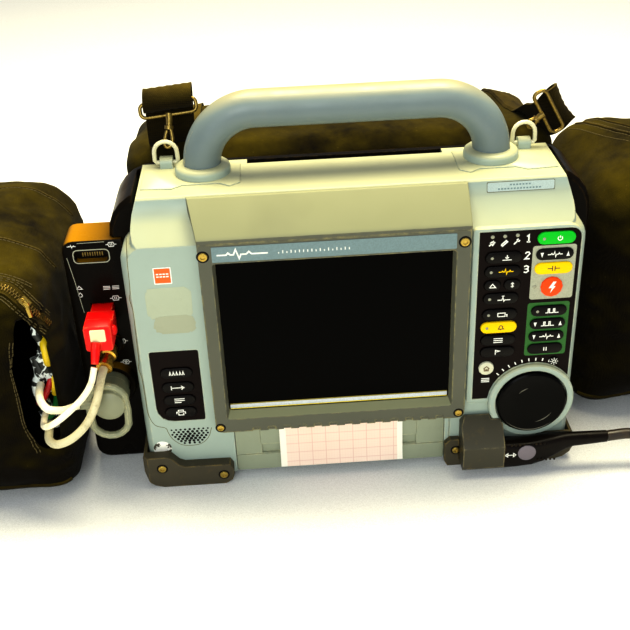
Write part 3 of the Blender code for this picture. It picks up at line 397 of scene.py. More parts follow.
def dress_nodes():
    """Every CAD node that stays gets its material, joined faces and smooth shading across shallow angles."""
    looks = {node: material for material, nodes in NODE_LOOKS.items() for node in nodes}
    for name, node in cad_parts.items():
        material = looks.get(name, KEY_BLACK)
        node.data.materials.clear()
        node.data.materials.append(material)
        stored = node.data.attributes.get("custom_normal")
        if stored is not None:
            node.data.attributes.remove(stored)
        node.data.shade_smooth()
        joined = node.modifiers.new("joined", "WELD")
        joined.merge_threshold = 1e-6
        sharp = node.modifiers.new("sharp", "EDGE_SPLIT")
        sharp.split_angle = math.radians(32)
        sharp.use_edge_sharp = False


# ---- mesh helpers
PRINT_DEPTH_MM = 0.04           # flat prints get this much thickness, so that they are closed solids too


def closed_up(bm):
    """Caps open ends and gives flat prints a little thickness, so that every piece is a closed solid."""
    rim = [e for e in bm.edges if e.is_boundary]
    if not rim:
        return
    bm.normal_update()
    towards = max(bm.faces, key=lambda f: f.calc_area()).normal.copy()
    if all(abs(f.normal.dot(towards)) > 0.995 or f.calc_area() < 1e-9 for f in bm.faces):
        pushed = bmesh.ops.extrude_face_region(bm, geom=bm.faces[:])["geom"]
        backs = [v for v in pushed if isinstance(v, bmesh.types.BMVert)]
        bmesh.ops.translate(bm, verts=backs, vec=(0, PRINT_DEPTH_MM * MM, 0))
    else:
        bmesh.ops.holes_fill(bm, edges=rim, sides=0)
    bmesh.ops.recalc_face_normals(bm, faces=bm.faces[:])


def add_mesh(name, mesh_maker, material, body="unit", smooth_deg=40):
    """A new piece from a bmesh, riding on a body."""
    if body is not None:
        closed_up(mesh_maker)
    mesh = bpy.data.meshes.new(name)
    mesh_maker.normal_update()
    mesh_maker.to_mesh(mesh)
    mesh_maker.free()
    mesh.materials.append(material)
    mesh.shade_smooth()
    mesh.set_sharp_from_angle(angle=math.radians(smooth_deg))
    piece = shown(name, mesh)
    if body is not None:
        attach(piece, body)
    return piece


def smooth_route(points, step_mm):
    """Even points in mm along a smooth curve through the given ones."""
    route = [Vector(p) for p in points]
    route = [route[0] * 2 - route[1]] + route + [route[-1] * 2 - route[-2]]
    dense = []
    for a, b, c, d in zip(route, route[1:], route[2:], route[3:]):
        for k in range(16):
            t = k / 16.0
            dense.append(0.5 * (2 * b + (c - a) * t + (2 * a - 5 * b + 4 * c - d) * t * t
                                + (3 * b - a - 3 * c + d) * t ** 3))
    dense.append(route[-2])
    along = [0.0]
    for p, q in zip(dense, dense[1:]):
        along.append(along[-1] + (q - p).length)
    count = max(2, round(along[-1] / step_mm))
    even, i = [], 0
    for k in range(count + 1):
        want = along[-1] * k / count
        while i < len(along) - 2 and along[i + 1] < want:
            i += 1
        share = (want - along[i]) / max(along[i + 1] - along[i], 1e-9)
        even.append(dense[i].lerp(dense[i + 1], min(max(share, 0.0), 1.0)))
    return even


def heading(route, i):
    """Which way a route of points runs at its point i."""
    return (route[min(i + 1, len(route) - 1)] - route[max(i - 1, 0)]).normalized()


def ring_of(bm, centre, u, v, radius, sides):
    """A ring of vertices round a centre in mm, in the plane of two directions."""
    turns = [2 * math.pi * k / sides for k in range(sides)]
    return [bm.verts.new(at(*(centre + (u * math.cos(a) + v * math.sin(a)) * radius))) for a in turns]


def walls(bm, rows, closed=False, turned_over=False):
    """Faces between neighbouring rings of vertices; a ring of one vertex is a point."""
    for a, b in list(zip(rows, rows[1:])) + ([(rows[-1], rows[0])] if closed else []):
        sides = max(len(a), len(b))
        for k in range(sides):
            j = (k + 1) % sides
            corners = (a[k % len(a)], a[j % len(a)], b[j % len(b)], b[k % len(b)])
            if not turned_over:
                corners = (corners[0], corners[3], corners[2], corners[1])
            unique = list(dict.fromkeys(corners))
            if len(unique) > 2:
                bm.faces.new(unique)


def sweep(bm, route, radius_mm, sides=12, closed=False):
    """A round rod along points in mm; radius_mm is one number or a function of the share of the way."""
    rows, reference, last = [], None, len(route) - 1
    for i, p in enumerate(route):
        along = (route[(i + 1) % len(route)] - route[i - 1]).normalized() if closed else heading(route, i)
        if reference is None:
            reference = Vector((0, 0, 1)) if abs(along.z) < 0.8 else Vector((0, 1, 0))
        reference = (reference - along * reference.dot(along)).normalized()
        radius = radius_mm(i / last) if callable(radius_mm) else radius_mm
        rows.append(ring_of(bm, p, reference, along.cross(reference), radius, sides))
    walls(bm, rows, closed)
    if not closed:
        bm.faces.new(rows[0])
        bm.faces.new(rows[-1][::-1])
    return bm


def turned(bm, origin, axis, profile, sides=32):
    """A turned solid; profile lists (radius, along) in mm, with radius 0 on the axis."""
    along = Vector(axis).normalized()
    u = along.cross(Vector((0, 0, 1)) if abs(along.z) < 0.9 else Vector((1, 0, 0))).normalized()
    v = along.cross(u)
    rows = [ring_of(bm, Vector(origin) + along * far, u, v, radius, sides if radius else 1)
            for radius, far in profile]
    walls(bm, rows, turned_over=True)
    return bm


def button(bm, place, profile, sides):
    """A turned solid that faces forward."""
    return turned(bm, place, (0, -1, 0), profile, sides)


def polar(cx, cz, radius, degrees):
    """A point on a circle in a front-facing plane."""
    angle = math.radians(degrees)
    return cx + radius * math.cos(angle), cz + radius * math.sin(angle)


def arc(cx, cz, radius, start, stop, count=12):
    return [polar(cx, cz, radius, start + (stop - start) * k / count) for k in range(count + 1)]


def rounded(x0, x1, z0, z1, radius, count=5):
    """The outline of a rectangle with rounded corners, anticlockwise from its lower left one."""
    left, right, low, high = x0 + radius, x1 - radius, z0 + radius, z1 - radius
    outline = []
    for (cx, cz), start in (((left, low), 180), ((right, low), 270), ((right, high), 0), ((left, high), 90)):
        outline += arc(cx, cz, radius, start, start + 90, count)
    return outline


def flat(bm, outline, y):
    """One face on a front-facing plane."""
    bm.faces.new([bm.verts.new(at(x, y, z)) for x, z in outline])
    return bm


def stroke(bm, line, width, y, closed=False):
    """A line of even width with mitred corners on a front-facing plane."""
    count = len(line)
    left, right = [], []
    for i, (x, z) in enumerate(line):
        before = line[i - 1] if closed or i else line[0]
        after = line[(i + 1) % count] if closed or i < count - 1 else line[-1]
        ins, outs = Vector((x - before[0], z - before[1])), Vector((after[0] - x, after[1] - z))
        ins = ins.normalized() if ins.length > 1e-9 else outs.normalized()
        outs = outs.normalized() if outs.length > 1e-9 else ins
        across = Vector((-(ins + outs).y, (ins + outs).x)).normalized()
        reach = width / 2 / max(0.4, across.dot(Vector((-ins.y, ins.x))))
        left.append(bm.verts.new(at(x + across.x * reach, y, z + across.y * reach)))
        right.append(bm.verts.new(at(x - across.x * reach, y, z - across.y * reach)))
    for i in range(count if closed else count - 1):
        j = (i + 1) % count
        bm.faces.new((left[i], right[i], right[j], left[j]))
    return bm


def plate(bm, outline, y_front, y_back, ease=0.4):
    """A raised plate with an eased front edge, from an outline in x and z."""
    cx, cz = sum(x for x, _ in outline) / len(outline), sum(z for _, z in outline) / len(outline)
    reach = max(max(abs(x - cx), abs(z - cz)) for x, z in outline)
    rings = [(y_back, 0.0), (y_front + ease, 0.0), (y_front + ease * 0.3, ease * 0.3), (y_front, ease)]
    rows = []
    for y, inset in rings:
        k = 1 - inset / reach
        rows.append([bm.verts.new(at(cx + (x - cx) * k, y, cz + (z - cz) * k)) for x, z in outline])
    walls(bm, rows, turned_over=True)
    bm.faces.new(rows[-1])
    return bm


def sticker(name, edges, radius, y_front, y_back, ease, material, count=3):
    """A piece that is a thin raised plate with rounded corners; edges are x, x, z, z."""
    add_mesh(name, plate(bmesh.new(), rounded(*edges, radius, count), y_front, y_back, ease), material)


def drawn(name, lines, width, y, ink, closed=False):
    """A piece made of printed lines on a front-facing plane."""
    bm = bmesh.new()
    for line in lines:
        stroke(bm, line, width, y, closed)
    add_mesh(name, bm, ink)


# ---- cords
def cord_curve(name, route_mm, radius_mm, material, node, **facts):
    """One spline along a smooth route, standing for a CAD cord."""
    curve = bpy.data.curves.new(name, "CURVE")
    curve.dimensions = "3D"
    curve.bevel_depth = radius_mm * MM
    curve.bevel_resolution = 5
    curve.use_fill_caps = True
    spline = curve.splines.new("POLY")
    spline.points.add(len(route_mm) - 1)
    for point, p in zip(spline.points, route_mm):
        point.co = (*at(*p), 1.0)
    spline.use_smooth = True
    curve.materials.append(material)
    piece = shown(name, curve)
    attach(piece, "unit")
    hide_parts(*node)
    return piece


def therapy_route():
    """Out of the plug, down to the table, six turns in two layers, and across to the pads connector."""
    lead_in = [(206.8, -15, 28.1), (226, -15.5, 29.6), (246, -19, 26), (264, -31, 16.5), (276, -47, 8.0),
               (288, -64, 4.9), (303, -79, 4.9), (322, -86.5, 4.9)]
    cx, cy, low, high, steps = 345.0, -24.0, 4.9, 13.9, 24
    outer, middle, inner = 59.0, 50.0, 41.0
    turns = [(outer, low), (middle, low), (inner, low), (inner, high), (middle, high), (outer, high)]
    coil = []
    for (radius, level), (next_radius, next_level) in zip(turns, turns[1:] + turns[-1:]):
        for k in range(steps):
            share = clamped(k, steps - 6, steps)
            share = share * share * (3 - 2 * share)
            x, y = polar(cx, cy, radius + (next_radius - radius) * share, -105 + 360.0 * k / steps)
            coil.append((x, y, level + (next_level - level) * share))
    lead_out = [(345, -84.5, 13.0), (366, -88, 9.0), (390, -90, 5.2), (412, -91.0, 4.9), (428.0, -87.0, 7.0)]
    return smooth_route(lead_in + coil + lead_out, 5.0)


def make_cords():
    spo2 = [(-205, -18.7, 130.4), (-208.5, -23.5, 119), (-216.5, -26, 107.5), (-228.5, -31, 98),
            (-240, -33, 90), (-249.5, -27, 83), (-253, -13, 79.5), (-254, 2, 78)]
    cuff = [(-202.6, 3.1, 114.3), (-204, -5, 111.6), (-208.5, -19, 97), (-217, -25.5, 82.5),
            (-229.5, -29.5, 72), (-242, -29.5, 67), (-249.5, -22, 66), (-252, -10, 65.5), (-252.5, 2, 65)]
    ecg = [(-226, -5.5, 86.2), (-229.5, -8.2, 87.1), (-233.6, -14.5, 89.5), (-238, -20, 93),
           (-245, -24, 97.5), (-251, -18, 101.5), (-253.6, -8, 103.5), (-254, 2, 104)]
    into_pouch = dict(far_end="object", stiffness="medium", lay="loose")
    cord_curve("spo2_cord", smooth_route(spo2, 3), 2.6, CREAM, ["spo2_cable"], **into_pouch)
    cord_curve("cuff_hose", smooth_route(cuff, 3), 3.4, GREY_JACKET, ["nibp_hose"], **into_pouch)
    cord_curve("ecg_cord", smooth_route(ecg, 3), 3.1, CREAM, ["ecg_cable"], **into_pouch)
    cord_curve("therapy_cord", therapy_route(), 4.5, BLACK_JACKET, ["therapy_cable", "therapy_coil"],
               far_end="connector", stiffness="medium", lay="coiled",
               with_pieces=[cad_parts["pads_connector"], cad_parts["therapy_plug"]])


# ---- room
def make_room():
    floor = bmesh.new()
    bmesh.ops.create_grid(floor, x_segments=1, y_segments=1, size=6.0)
    bmesh.ops.translate(floor, verts=floor.verts, vec=(0, 0, -0.0003))
    add_mesh("floor", floor, printed("pale_floor", (0.84, 0.85, 0.86), 0.8), body=None)
    room = bpy.data.worlds.new("room")
    room.use_nodes = True
    room.node_tree.nodes["Background"].inputs["Color"].default_value = (0.96, 0.98, 1.0, 1.0)
    room.node_tree.nodes["Background"].inputs["Strength"].default_value = 0.36
    bpy.context.scene.world = room
    view = bpy.context.scene.view_settings
    view.view_transform, view.exposure, view.gamma = "Standard", 0.45, 0.80
    area_light("ceiling", (0.1, 0.30, 1.6), (0.0, 0.04, 0.15), (1.3, 0.7), 48.0, (1.0, 0.91, 0.62))
    area_light("front_fill", (-0.4, -1.9, 1.0), (0.0, 0.0, 0.12), (1.4, 1.0), 17.0, (0.94, 1.0, 0.97))


# ---- printing on the keys and the panels, with painted light and shade on the front
BADGE = [[(-1.9, 0), (-1.1, 0), (-0.8, 0.8), (0.8, 0.8), (1.1, 0), (1.9, 0)],
         [(-1.1, 0), (-0.8, -0.8), (0.8, -0.8), (1.1, 0)]]
PICTOGRAMS = {                  # lines in a field about 5 wide and 2 high
    "power": [arc(0, 0, 0.9, 125, 415, 14), [(0, 0.15), (0, 1.2)]],
    "trace": [[(-2.6, 0), (-1.5, 0), (-1.2, 0.4), (-0.9, 0), (-0.5, 0), (-0.2, 1.1), (0.2, -1.0), (0.5, 0),
               (1.1, 0), (1.4, 0.5), (1.7, 0), (2.6, 0)]],
    "bell": [[(-1.2, -0.7), (1.2, -0.7), (0.75, -0.2), (0.7, 0.5), (0.3, 0.95), (-0.3, 0.95), (-0.7, 0.5),
              (-0.75, -0.2), (-1.2, -0.7)], [(-0.25, -1.0), (0.25, -1.0)]],
    "menu": [[(-1.7, z), (1.7, z)] for z in (0.8, 0, -0.8)],
    "flag": [[(-0.9, -1.1), (-0.9, 1.1), (0.9, 0.6), (-0.9, 0.1)]],
    "house": [[(-1.1, 0.0), (0, 1.0), (1.1, 0.0)], [(-0.75, 0.2), (-0.75, -0.9), (0.75, -0.9), (0.75, 0.2)],
              [(-0.2, -0.9), (-0.2, -0.3), (0.25, -0.3), (0.25, -0.9)]],
    "pulses": [[(-2.4, -0.7), (-1.5, -0.7), (-1.5, 0.9), (-1.0, 0.9), (-1.0, -0.7), (0.4, -0.7), (0.4, 0.9),
                (0.9, 0.9), (0.9, -0.7), (2.3, -0.7)]],
    "pause": [[(-0.5, -0.9), (-0.5, 0.9)], [(0.5, -0.9), (0.5, 0.9)]],
    "sun": [arc(0, 0, 0.55, 0, 360, 10)] + [[polar(0, 0, r, 45 * k) for r in (0.9, 1.5)] for k in range(8)],
    "charge": [[(-2.2, 0), (-0.45, 0)], [(-0.45, -1), (-0.45, 1)], [(0.45, -1), (0.45, 1)],
               [(0.45, 0), (2.2, 0)]],
    "lead": [[(-1.3, -0.8), (0, 0.9), (1.3, -0.8), (-1.3, -0.8)]],
    "size": [[(0, -1), (0, 1)], [(-0.6, 0.45), (0, 1.05), (0.6, 0.45)],
             [(-0.6, -0.45), (0, -1.05), (0.6, -0.45)]],
    "press": [[(-1.6, -0.9), (1.6, -0.9)], [(0, 1.0), (0, -0.3)], [(-0.6, 0.2), (0, -0.4), (0.6, 0.2)]],
    "sync": [[(-2.3, -0.5), (-0.7, -0.5), (-0.35, 0.8), (0, -1.0), (0.3, -0.5), (2.3, -0.5)],
             [(-0.8, 1.1), (0.1, 1.1)]],
    "cuff": [[(-1.8, -0.7), (-1.8, 0.7), (0.8, 0.7), (0.8, -0.7), (-1.8, -0.7)],
             [(0.8, 0), (1.5, 0), (1.5, -0.9)]],
    "grid": [[(x, -0.8), (x + 0.35, 0.8), (x + 0.7, -0.8)] for x in (-2.6, -1.4, -0.2, 1.0, 2.1)],
    "send": [[(-2.4, 0), (2.0, 0)], [(1.2, 0.8), (2.2, 0), (1.2, -0.8)], [(-2.4, -0.9), (-2.4, 0.9)]],
    "sheet": [[(-1.9, 0.8), (1.9, 0.8)], [(-1.9, 0), (1.9, 0)], [(-1.9, -0.8), (0.6, -0.8)]],
    "print": [[(-1.6, -0.6), (-1.6, 0.3), (1.6, 0.3), (1.6, -0.6)],
              [(-0.9, 0.3), (-0.9, 1.1), (0.9, 1.1), (0.9, 0.3)],
              [(-0.9, -0.2), (-0.9, -1.1), (0.9, -1.1), (0.9, -0.2)]],
    "plug": [[(-0.9, -0.9), (-0.2, -0.2)], [(-0.5, 0.3), (0.4, -0.6), (0.9, 0.1), (0.1, 0.8), (-0.5, 0.3)],
             [(0.3, 0.7), (0.8, 1.2)], [(0.8, 0.2), (1.3, 0.7)]],
    "cell": [[(-1.1, -0.8), (0.7, 0.9), (1.2, 0.4), (-0.6, -1.3), (-1.1, -0.8)]],
    "spanner": [[(-1.0, -1.0), (0.3, 0.3), (0.2, 0.9), (0.7, 1.2)], [(0.3, 0.3), (0.9, 0.2), (1.2, 0.7)]],
    "drop": [[(0, 1.1), (0.75, -0.2), (0.4, -0.9), (-0.4, -0.9), (-0.75, -0.2), (0, 1.1)]],
    "badge": BADGE + [[(-0.3, -0.45), (-0.3, 0.45)], [(0.3, -0.45), (0.3, 0.45)]],
    "heart": BADGE + [[(0, -0.45), (-0.45, 0.1), (-0.2, 0.4), (0, 0.2), (0.2, 0.4), (0.45, 0.1),
                       (0, -0.45)]],
    "both_ways": [[(-1.9, 0), (-1.0, 0.7), (-1.0, -0.7), (-1.9, 0)],
                  [(1.9, 0), (1.0, 0.7), (1.0, -0.7), (1.9, 0)], [(-1.0, 0), (1.0, 0)]],
    "one": [[(-0.45, 0.6), (0.1, 1.05), (0.1, -1.1)], [(-0.45, -1.1), (0.6, -1.1)]],
    "two": [[(-0.65, 0.6), (-0.3, 1.05), (0.35, 1.05), (0.65, 0.55), (-0.65, -1.05), (0.7, -1.05)]],
    "three": [[(-0.65, 0.85), (0, 1.1), (0.6, 0.75), (0.5, 0.2), (-0.1, 0.05), (0.5, -0.1), (0.65, -0.7),
               (0, -1.1), (-0.65, -0.85)]],
}
RIGHT_FACE, LEFT_FACE, FILM_FACE = -4.2, -1.2, -2.7     # y of the right and left key caps and the right film
INK_LIFT = 0.07
DIAL_X, DIAL_Z = 142.0, 62.5
KEY_MARKS = {"on": "power", "energy": "trace", "charge": "charge", "cpr": "press", "analyze": "trace",
             "lead": "lead", "size": "size", "sync": "sync", "nibp": "cuff", "alarms": "bell",
             "options": "menu", "event": "flag", "home": "house", "pacer": "pulses", "rate": "pulses",
             "current": "trace", "pause": "pause", "contrast": "sun", "twelve_lead": "grid",
             "transmit": "send", "summary": "sheet", "print": "print",}
KEY_INKS = {"charge": DARK_INK, "alarms": DARK_INK, "home": DARK_INK, "analyze": KEY_YELLOW}
LIT_KEYS = ("on", "cpr", "analyze", "sync", "nibp", "alarms", "pacer")
ARROWED_KEYS = ("energy", "rate", "current")
SMALL_MARKS = ("power", "bell", "flag", "pause", "lead", "size")


def pictogram(bm, kind, x, z, size, y, width):
    for line in PICTOGRAMS[kind]:
        stroke(bm, [(x + px * size, z + pz * size) for px, pz in line], width, y)
    return bm


def light_dot(bm, x, z, y, radius=1.25):
    lens = [(radius, -0.1), (radius, 0.12), (radius * 0.8, 0.3), (radius * 0.4, 0.42), (0, 0.45)]
    return button(bm, (x, y, z), lens, 14)


def print_key(short_name, kind, dot_lens):
    """A key's pictogram, with triangles and a lamp beside it where the key has them."""
    key = "key_" + short_name
    low, _ = box_mm(key)
    x, z = middle_of(key)
    face = RIGHT_FACE if x > 0 else LEFT_FACE
    lit = short_name in LIT_KEYS
    shift = (1.6 if kind == "bell" else 2.4) if lit else 0.0
    size, width = 1.9 if kind in SMALL_MARKS else 2.2, 0.62 if kind == "sun" else 0.8
    bm = pictogram(bmesh.new(), kind, x + shift, z, size, face - INK_LIFT, width)
    if short_name in ARROWED_KEYS:
        for way in (-1, 1):
            cx = x + way * 10.0
            triangle = [(cx - 1.3 * way, z - 1.9 * way), (cx + 1.3 * way, z - 1.9 * way),
                        (cx, z + 2.3 * way)]
            flat(bm, triangle, face - INK_LIFT)
    add_mesh(key + "_mark", bm, KEY_INKS.get(short_name, WHITE_INK), key)
    if lit:
        add_mesh(key + "_lamp", light_dot(bmesh.new(), low.x + 5.0, z, face), dot_lens, key)


def print_keys():
    dot_lens = moulded("dot_lens", (0.30, 0.30, 0.22), 0.25, None, 0.6, 0.01, 0.3, 0.1, coat=0.5)
    for short_name, kind in KEY_MARKS.items():
        print_key(short_name, kind, dot_lens)
    x, z = middle_of("key_shock")
    bolt = [(0.6, 4.9), (3.2, 4.9), (0.9, 0.9), (2.7, 0.9), (-1.2, -5.2), (-0.2, -0.8), (-2.8, -0.8)]
    outline = [(x + 0.2 + px, z + pz) for px, pz in bolt]
    add_mesh("key_shock_mark", flat(bmesh.new(), outline, RIGHT_FACE - INK_LIFT), WHITE_INK, "key_shock")
    lamps, marks, ink_y = bmesh.new(), bmesh.new(), FILM_FACE - INK_LIFT
    for px, pz in ((103.2, 214.3), (112.6, 214.4), (122.2, 214.7)):
        light_dot(lamps, px, pz, FILM_FACE, 1.5)
    light_dot(lamps, 138.0, 169.0, ink_y, 1.5)
    add_mesh("status_lamps", lamps, dot_lens)
    for kind, px, pz, size in (("plug", 102.6, 208.6, 2.0), ("cell", 112.2, 208.9, 2.0),
                               ("spanner", 121.6, 209.2, 2.0), ("one", 130.5, 211.6, 2.7),
                               ("two", 130.7, 197.0, 2.7), ("three", 130.4, 185.2, 2.7)):
        pictogram(marks, kind, px, pz, size, ink_y, 1.15)
    for k in range(9):
        stroke(marks, [polar(DIAL_X, DIAL_Z, r, 137 - 8.3 * k) for r in (37.6, 40.4)], 1.0, ink_y)
    pictogram(marks, "menu", 103.4, 84.0, 2.0, ink_y, 0.9)
    add_mesh("panel_marks", marks, WHITE_INK)
    for name, ink, edges in (("energy_field", GREY_INK, (134.5, 168.3, 157.7, 204.7)),
                             ("pacing_field", GREEN_INK, (133.8, 167.1, 105.5, 154.6))):
        add_mesh(name, flat(bmesh.new(), rounded(*edges, 2.2), FILM_FACE - 0.03), ink)


def square_label():
    sticker("square_label_edge", (-153.4, -139.7, 189.5, 203.8), 0.6, -0.35, -0.02, 0.12, WHITE_INK, 2)
    field = rounded(-152.5, -140.6, 190.5, 202.9, 0.3, 2)
    add_mesh("square_label_field", flat(bmesh.new(), field, -0.40), LABEL_ORANGE)
    bars = [[(x, z), (x + 1.9, z)] for z in (196.0, 198.2) for x in (-151.3, -148.8, -146.3, -143.8)]
    drawn("square_label_bars", bars, 1.1, -0.46, WHITE_INK)


def glue_marks():
    rng = random.Random(4)
    for name, edges, y, colour in (("glue_mark_top", (-161.5, -127.0, 158.5, 186.5), -0.03,
                                    (0.42, 0.46, 0.34)),
                                   ("glue_mark_low", (-158.0, -125.5, 145.5, 161.0), -0.05,
                                    (0.37, 0.39, 0.28))):
        outline = [(x + rng.uniform(-0.7, 0.7), z + rng.uniform(-0.7, 0.7)) for x,
                   z in rounded(*edges, 6.0, 8)]
        residue = moulded(name, colour, 0.62, None, 1.2, 0.08, 0.3, 0.12, dirt_share=0.2)
        add_mesh(name, flat(bmesh.new(), outline, y), residue)


def name_strip():
    sticker("name_strip", (-107.8, 75.5, 208.9, 221.6), 0.8, -7.32, -6.95, 0.15, BLUE_INK)
    marks, ink_y, line_z = bmesh.new(), -7.4, 214.8
    wave = [(-104.0, 0), (-97.0, 0), (-95.5, 1.6), (-94.0, 0), (-91.5, 0), (-89.8, 4.2), (-87.4, -3.4),
            (-86.0, 0), (-82.0, 0), (-80.0, 2.0), (-78.0, 0), (-66.0, 0)]
    stroke(marks, [(x, line_z + z) for x, z in wave], 1.3, ink_y)
    for k in range(18):
        x = -58.0 + 3.1 * k
        stroke(marks, [(x, line_z - 1.2), (x, line_z + 1.4 * abs(math.sin(1.7 * k)))], 0.8, ink_y)
    add_mesh("name_strip_marks", marks, WHITE_INK)


def speaker_holes():
    """Rows of black discs as painted shade in holes, smaller towards the rim of the round field."""
    holes = bmesh.new()
    for z, x0, x1, count, radius in ((51.6, -155.5, -125.6, 9, 0.75), (49.2, -153.6, -127.0, 8, 0.95),
                                     (46.9, -155.2, -126.0, 9, 0.95), (44.6, -153.0, -127.6, 8, 1.1),
                                     (42.2, -150.8, -129.4, 7, 1.1), (39.9, -148.6, -131.2, 6, 0.95),
                                     (37.6, -146.0, -133.6, 4, 0.75)):
        for k in range(count):
            x = x0 + (x1 - x0) * k / (count - 1)
            middle = 1.0 - 0.35 * abs(x + 140.6) / 15.0
            flat(holes, arc(x, z, radius * 1.15 * middle + 0.25, 0, 360, 11)[:-1], -0.05)
    add_mesh("speaker_holes", holes, KEY_BLACK)


def left_seam():
    edge = [(-169.4, 230), (-171.2, 210), (-172.2, 186), (-173.6, 178), (-172.4, 168), (-172.6, 155),
            (-173.2, 137), (-173.6, 122), (-174.6, 114), (-173.2, 104), (-172.9, 84), (-172.4, 69),
            (-168.3, 58), (-160.0, 54.2), (-158.6, 50.0), (-155.0, 42.0), (-147.0, 35.6), (-134.0, 35.6),
            (-126.0, 42.0), (-122.4, 52.0)]
    route = smooth_route([(x, -0.04, z) for x, z in edge], 1.5)
    drawn("left_seam", [[(p.x, p.z) for p in route]], 0.55, -0.04, SEAM_INK)


def foil_disc():
    n = Nodes("worn_foil", 0.35, metal=0.3)
    flakes = n.window(n.noise(5.5, 3, 0.6), 0.50, 0.53)
    foil = n.done(n.mix(flakes, (0.86, 0.86, 0.80), (0.05, 0.045, 0.03)), n.bump(flakes, 0.1))
    profile = [(7.6, -0.02), (7.6, 0.25), (7.2, 0.45), (0, 0.5)]
    add_mesh("foil_disc", button(bmesh.new(), (-164.7, 0.0, 33.2), profile, 36), foil)


def on_riser(x, z, lift):
    """A place on the sloping riser in front of the deck, which leans back by a fifth of its height."""
    foot_y, foot_z, lean = 18.0, 240.0, 0.2
    return at(x, foot_y + (z - foot_z) * lean - lift, z)


def deck_label():
    """A pale blank label on the riser, with a thin dark outline and rows of dashes."""
    for name, inset, lift, ink in (("deck_label_edge", 0.0, 0.06, SEAM_INK),
                                   ("deck_label", 0.45, 0.10, PALE_INK)):
        bm = bmesh.new()
        outline = rounded(101.5 + inset, 153.5 - inset, 241.4 + inset, 249.2 - inset, 0.9, 3)
        bm.faces.new([bm.verts.new(on_riser(x, z, lift)) for x, z in outline])
        add_mesh(name, bm, ink)
    dashes, pitch, long, tall = bmesh.new(), 2.4, 1.5, 0.6
    for z, x0, x1 in ((246.6, 119.0, 136.0), (243.7, 110.0, 145.0)):
        for k in range(int((x1 - x0) / pitch)):
            x = x0 + pitch * k
            corners = ((x, z - tall), (x + long, z - tall), (x + long, z + tall), (x, z + tall))
            dashes.faces.new([dashes.verts.new(on_riser(*c, 0.13)) for c in corners])
    add_mesh("deck_label_marks", dashes, BLUE_INK)


CONNECTOR_FACE, SLOT_FLOOR = 31.93, 37.9


def print_connectors():
    icons = bmesh.new()
    for kind, x, z, size in (("trace", -217.6, 209.5, 1.3), ("badge", -187.0, 209.6, 2.2),
                             ("drop", -217.0, 166.5, 2.0), ("lead", -217.0, 173.0, 1.7),
                             ("badge", -189.8, 161.9, 2.4), ("badge", -190.0, 121.3, 2.4),
                             ("heart", -189.6, 100.9, 2.4), ("menu", -195.6, 171.6, 1.6),
                             ("menu", -188.6, 171.6, 1.6)):
        pictogram(icons, kind, x, z, size, CONNECTOR_FACE, 0.55)
    add_mesh("connector_marks", icons, WHITE_INK)
    drawn("gas_slot_frame", [rounded(-217.4, -189.6, 194.6, 205.9, 3.5, 4)], 0.8, CONNECTOR_FACE, GREY_INK,
          closed=True)
    contacts = [[(-211.0 + 1.9 * k, 197.4), (-211.0 + 1.9 * k, 201.0)] for k in range(9)]
    drawn("gas_slot_contacts", contacts, 0.8, SLOT_FLOOR, DARK_BRASS)
    edges = [[(-222.5, 200), (-219.5, 178), (-216.5, 150)], [(-213.0, 211.9), (-192.0, 212.2)]]
    drawn("connector_edge_lines", edges, 0.45, CONNECTOR_FACE, GREY_INK)
    sticker("red_plug_latch", (-206.6, -194.6, 146.6, 157.4), 1.2, -8.9, -6.5, 0.5, LATCH)
    dome = [(4.2, -1.0), (4.2, 1.2), (3.2, 2.6), (1.6, 3.2), (0, 3.3)]
    add_mesh("red_plug_button", turned(bmesh.new(), (-190.2, 2.0, 150.5), (1, 0, 0), dome, 24), RED)


def screws():
    places = [(-114.4, -7.0, 56.0, 3.0), (81.6, -7.0, 56.0, 3.0), (-114.4, -7.0, 214.0, 3.6),
              (81.6, -7.0, 214.0, 3.6), (-166.0, -9.6, 19.4, 3.4), (-115.4, -9.6, 9.3, 3.4),
              (81.0, -5.6, 16.0, 3.2)]
    # Each head gets a flat dark ring round it: painted shade of the recess the screw sits in.
    heads, painted_shade_rings = bmesh.new(), bmesh.new()
    for x, y, z, r in places:
        button(painted_shade_rings, (x, y, z), [(r + 1.3, -0.1), (r + 1.2, 0.08), (r, 0.1)], 28)
        head = [(r, -0.1), (r, 0.5), (r - 0.4, 0.95), (r * 0.52, 1.1), (r * 0.48, 0.25), (0, 0.2)]
        button(heads, (x, y, z), head, 28)
    add_mesh("screw_heads", heads, SCREW_BRASS)
    add_mesh("screw_painted_shade_rings", painted_shade_rings, KEY_BLACK)


def window_ledge_painted_light():
    # The window's inner ledge as thin front-facing strips: the gold and pale blue are painted highlights, the
    # olive top edge painted light.
    for name, z0, z1, y, ink in (
            ("ledge_low_painted_highlight", 69.3, 70.1, 0.10, printed("ledge_gold_painted_highlight", (0.75, 0.60, 0.04), 0.25)),
            ("ledge_band_painted_highlight", 70.1, 73.6, 0.16, printed("ledge_pale_painted_highlight", (0.62, 0.66, 0.70), 0.12)),
            ("ledge_top_painted_light", 73.6, 74.6, 0.12, printed("ledge_olive_painted_light", (0.30, 0.24, 0.03), 0.25))):
        sticker(name, (-105.2, 72.8, z0, z1), 0.3, y - 0.2, y, 0.08, ink, 2)


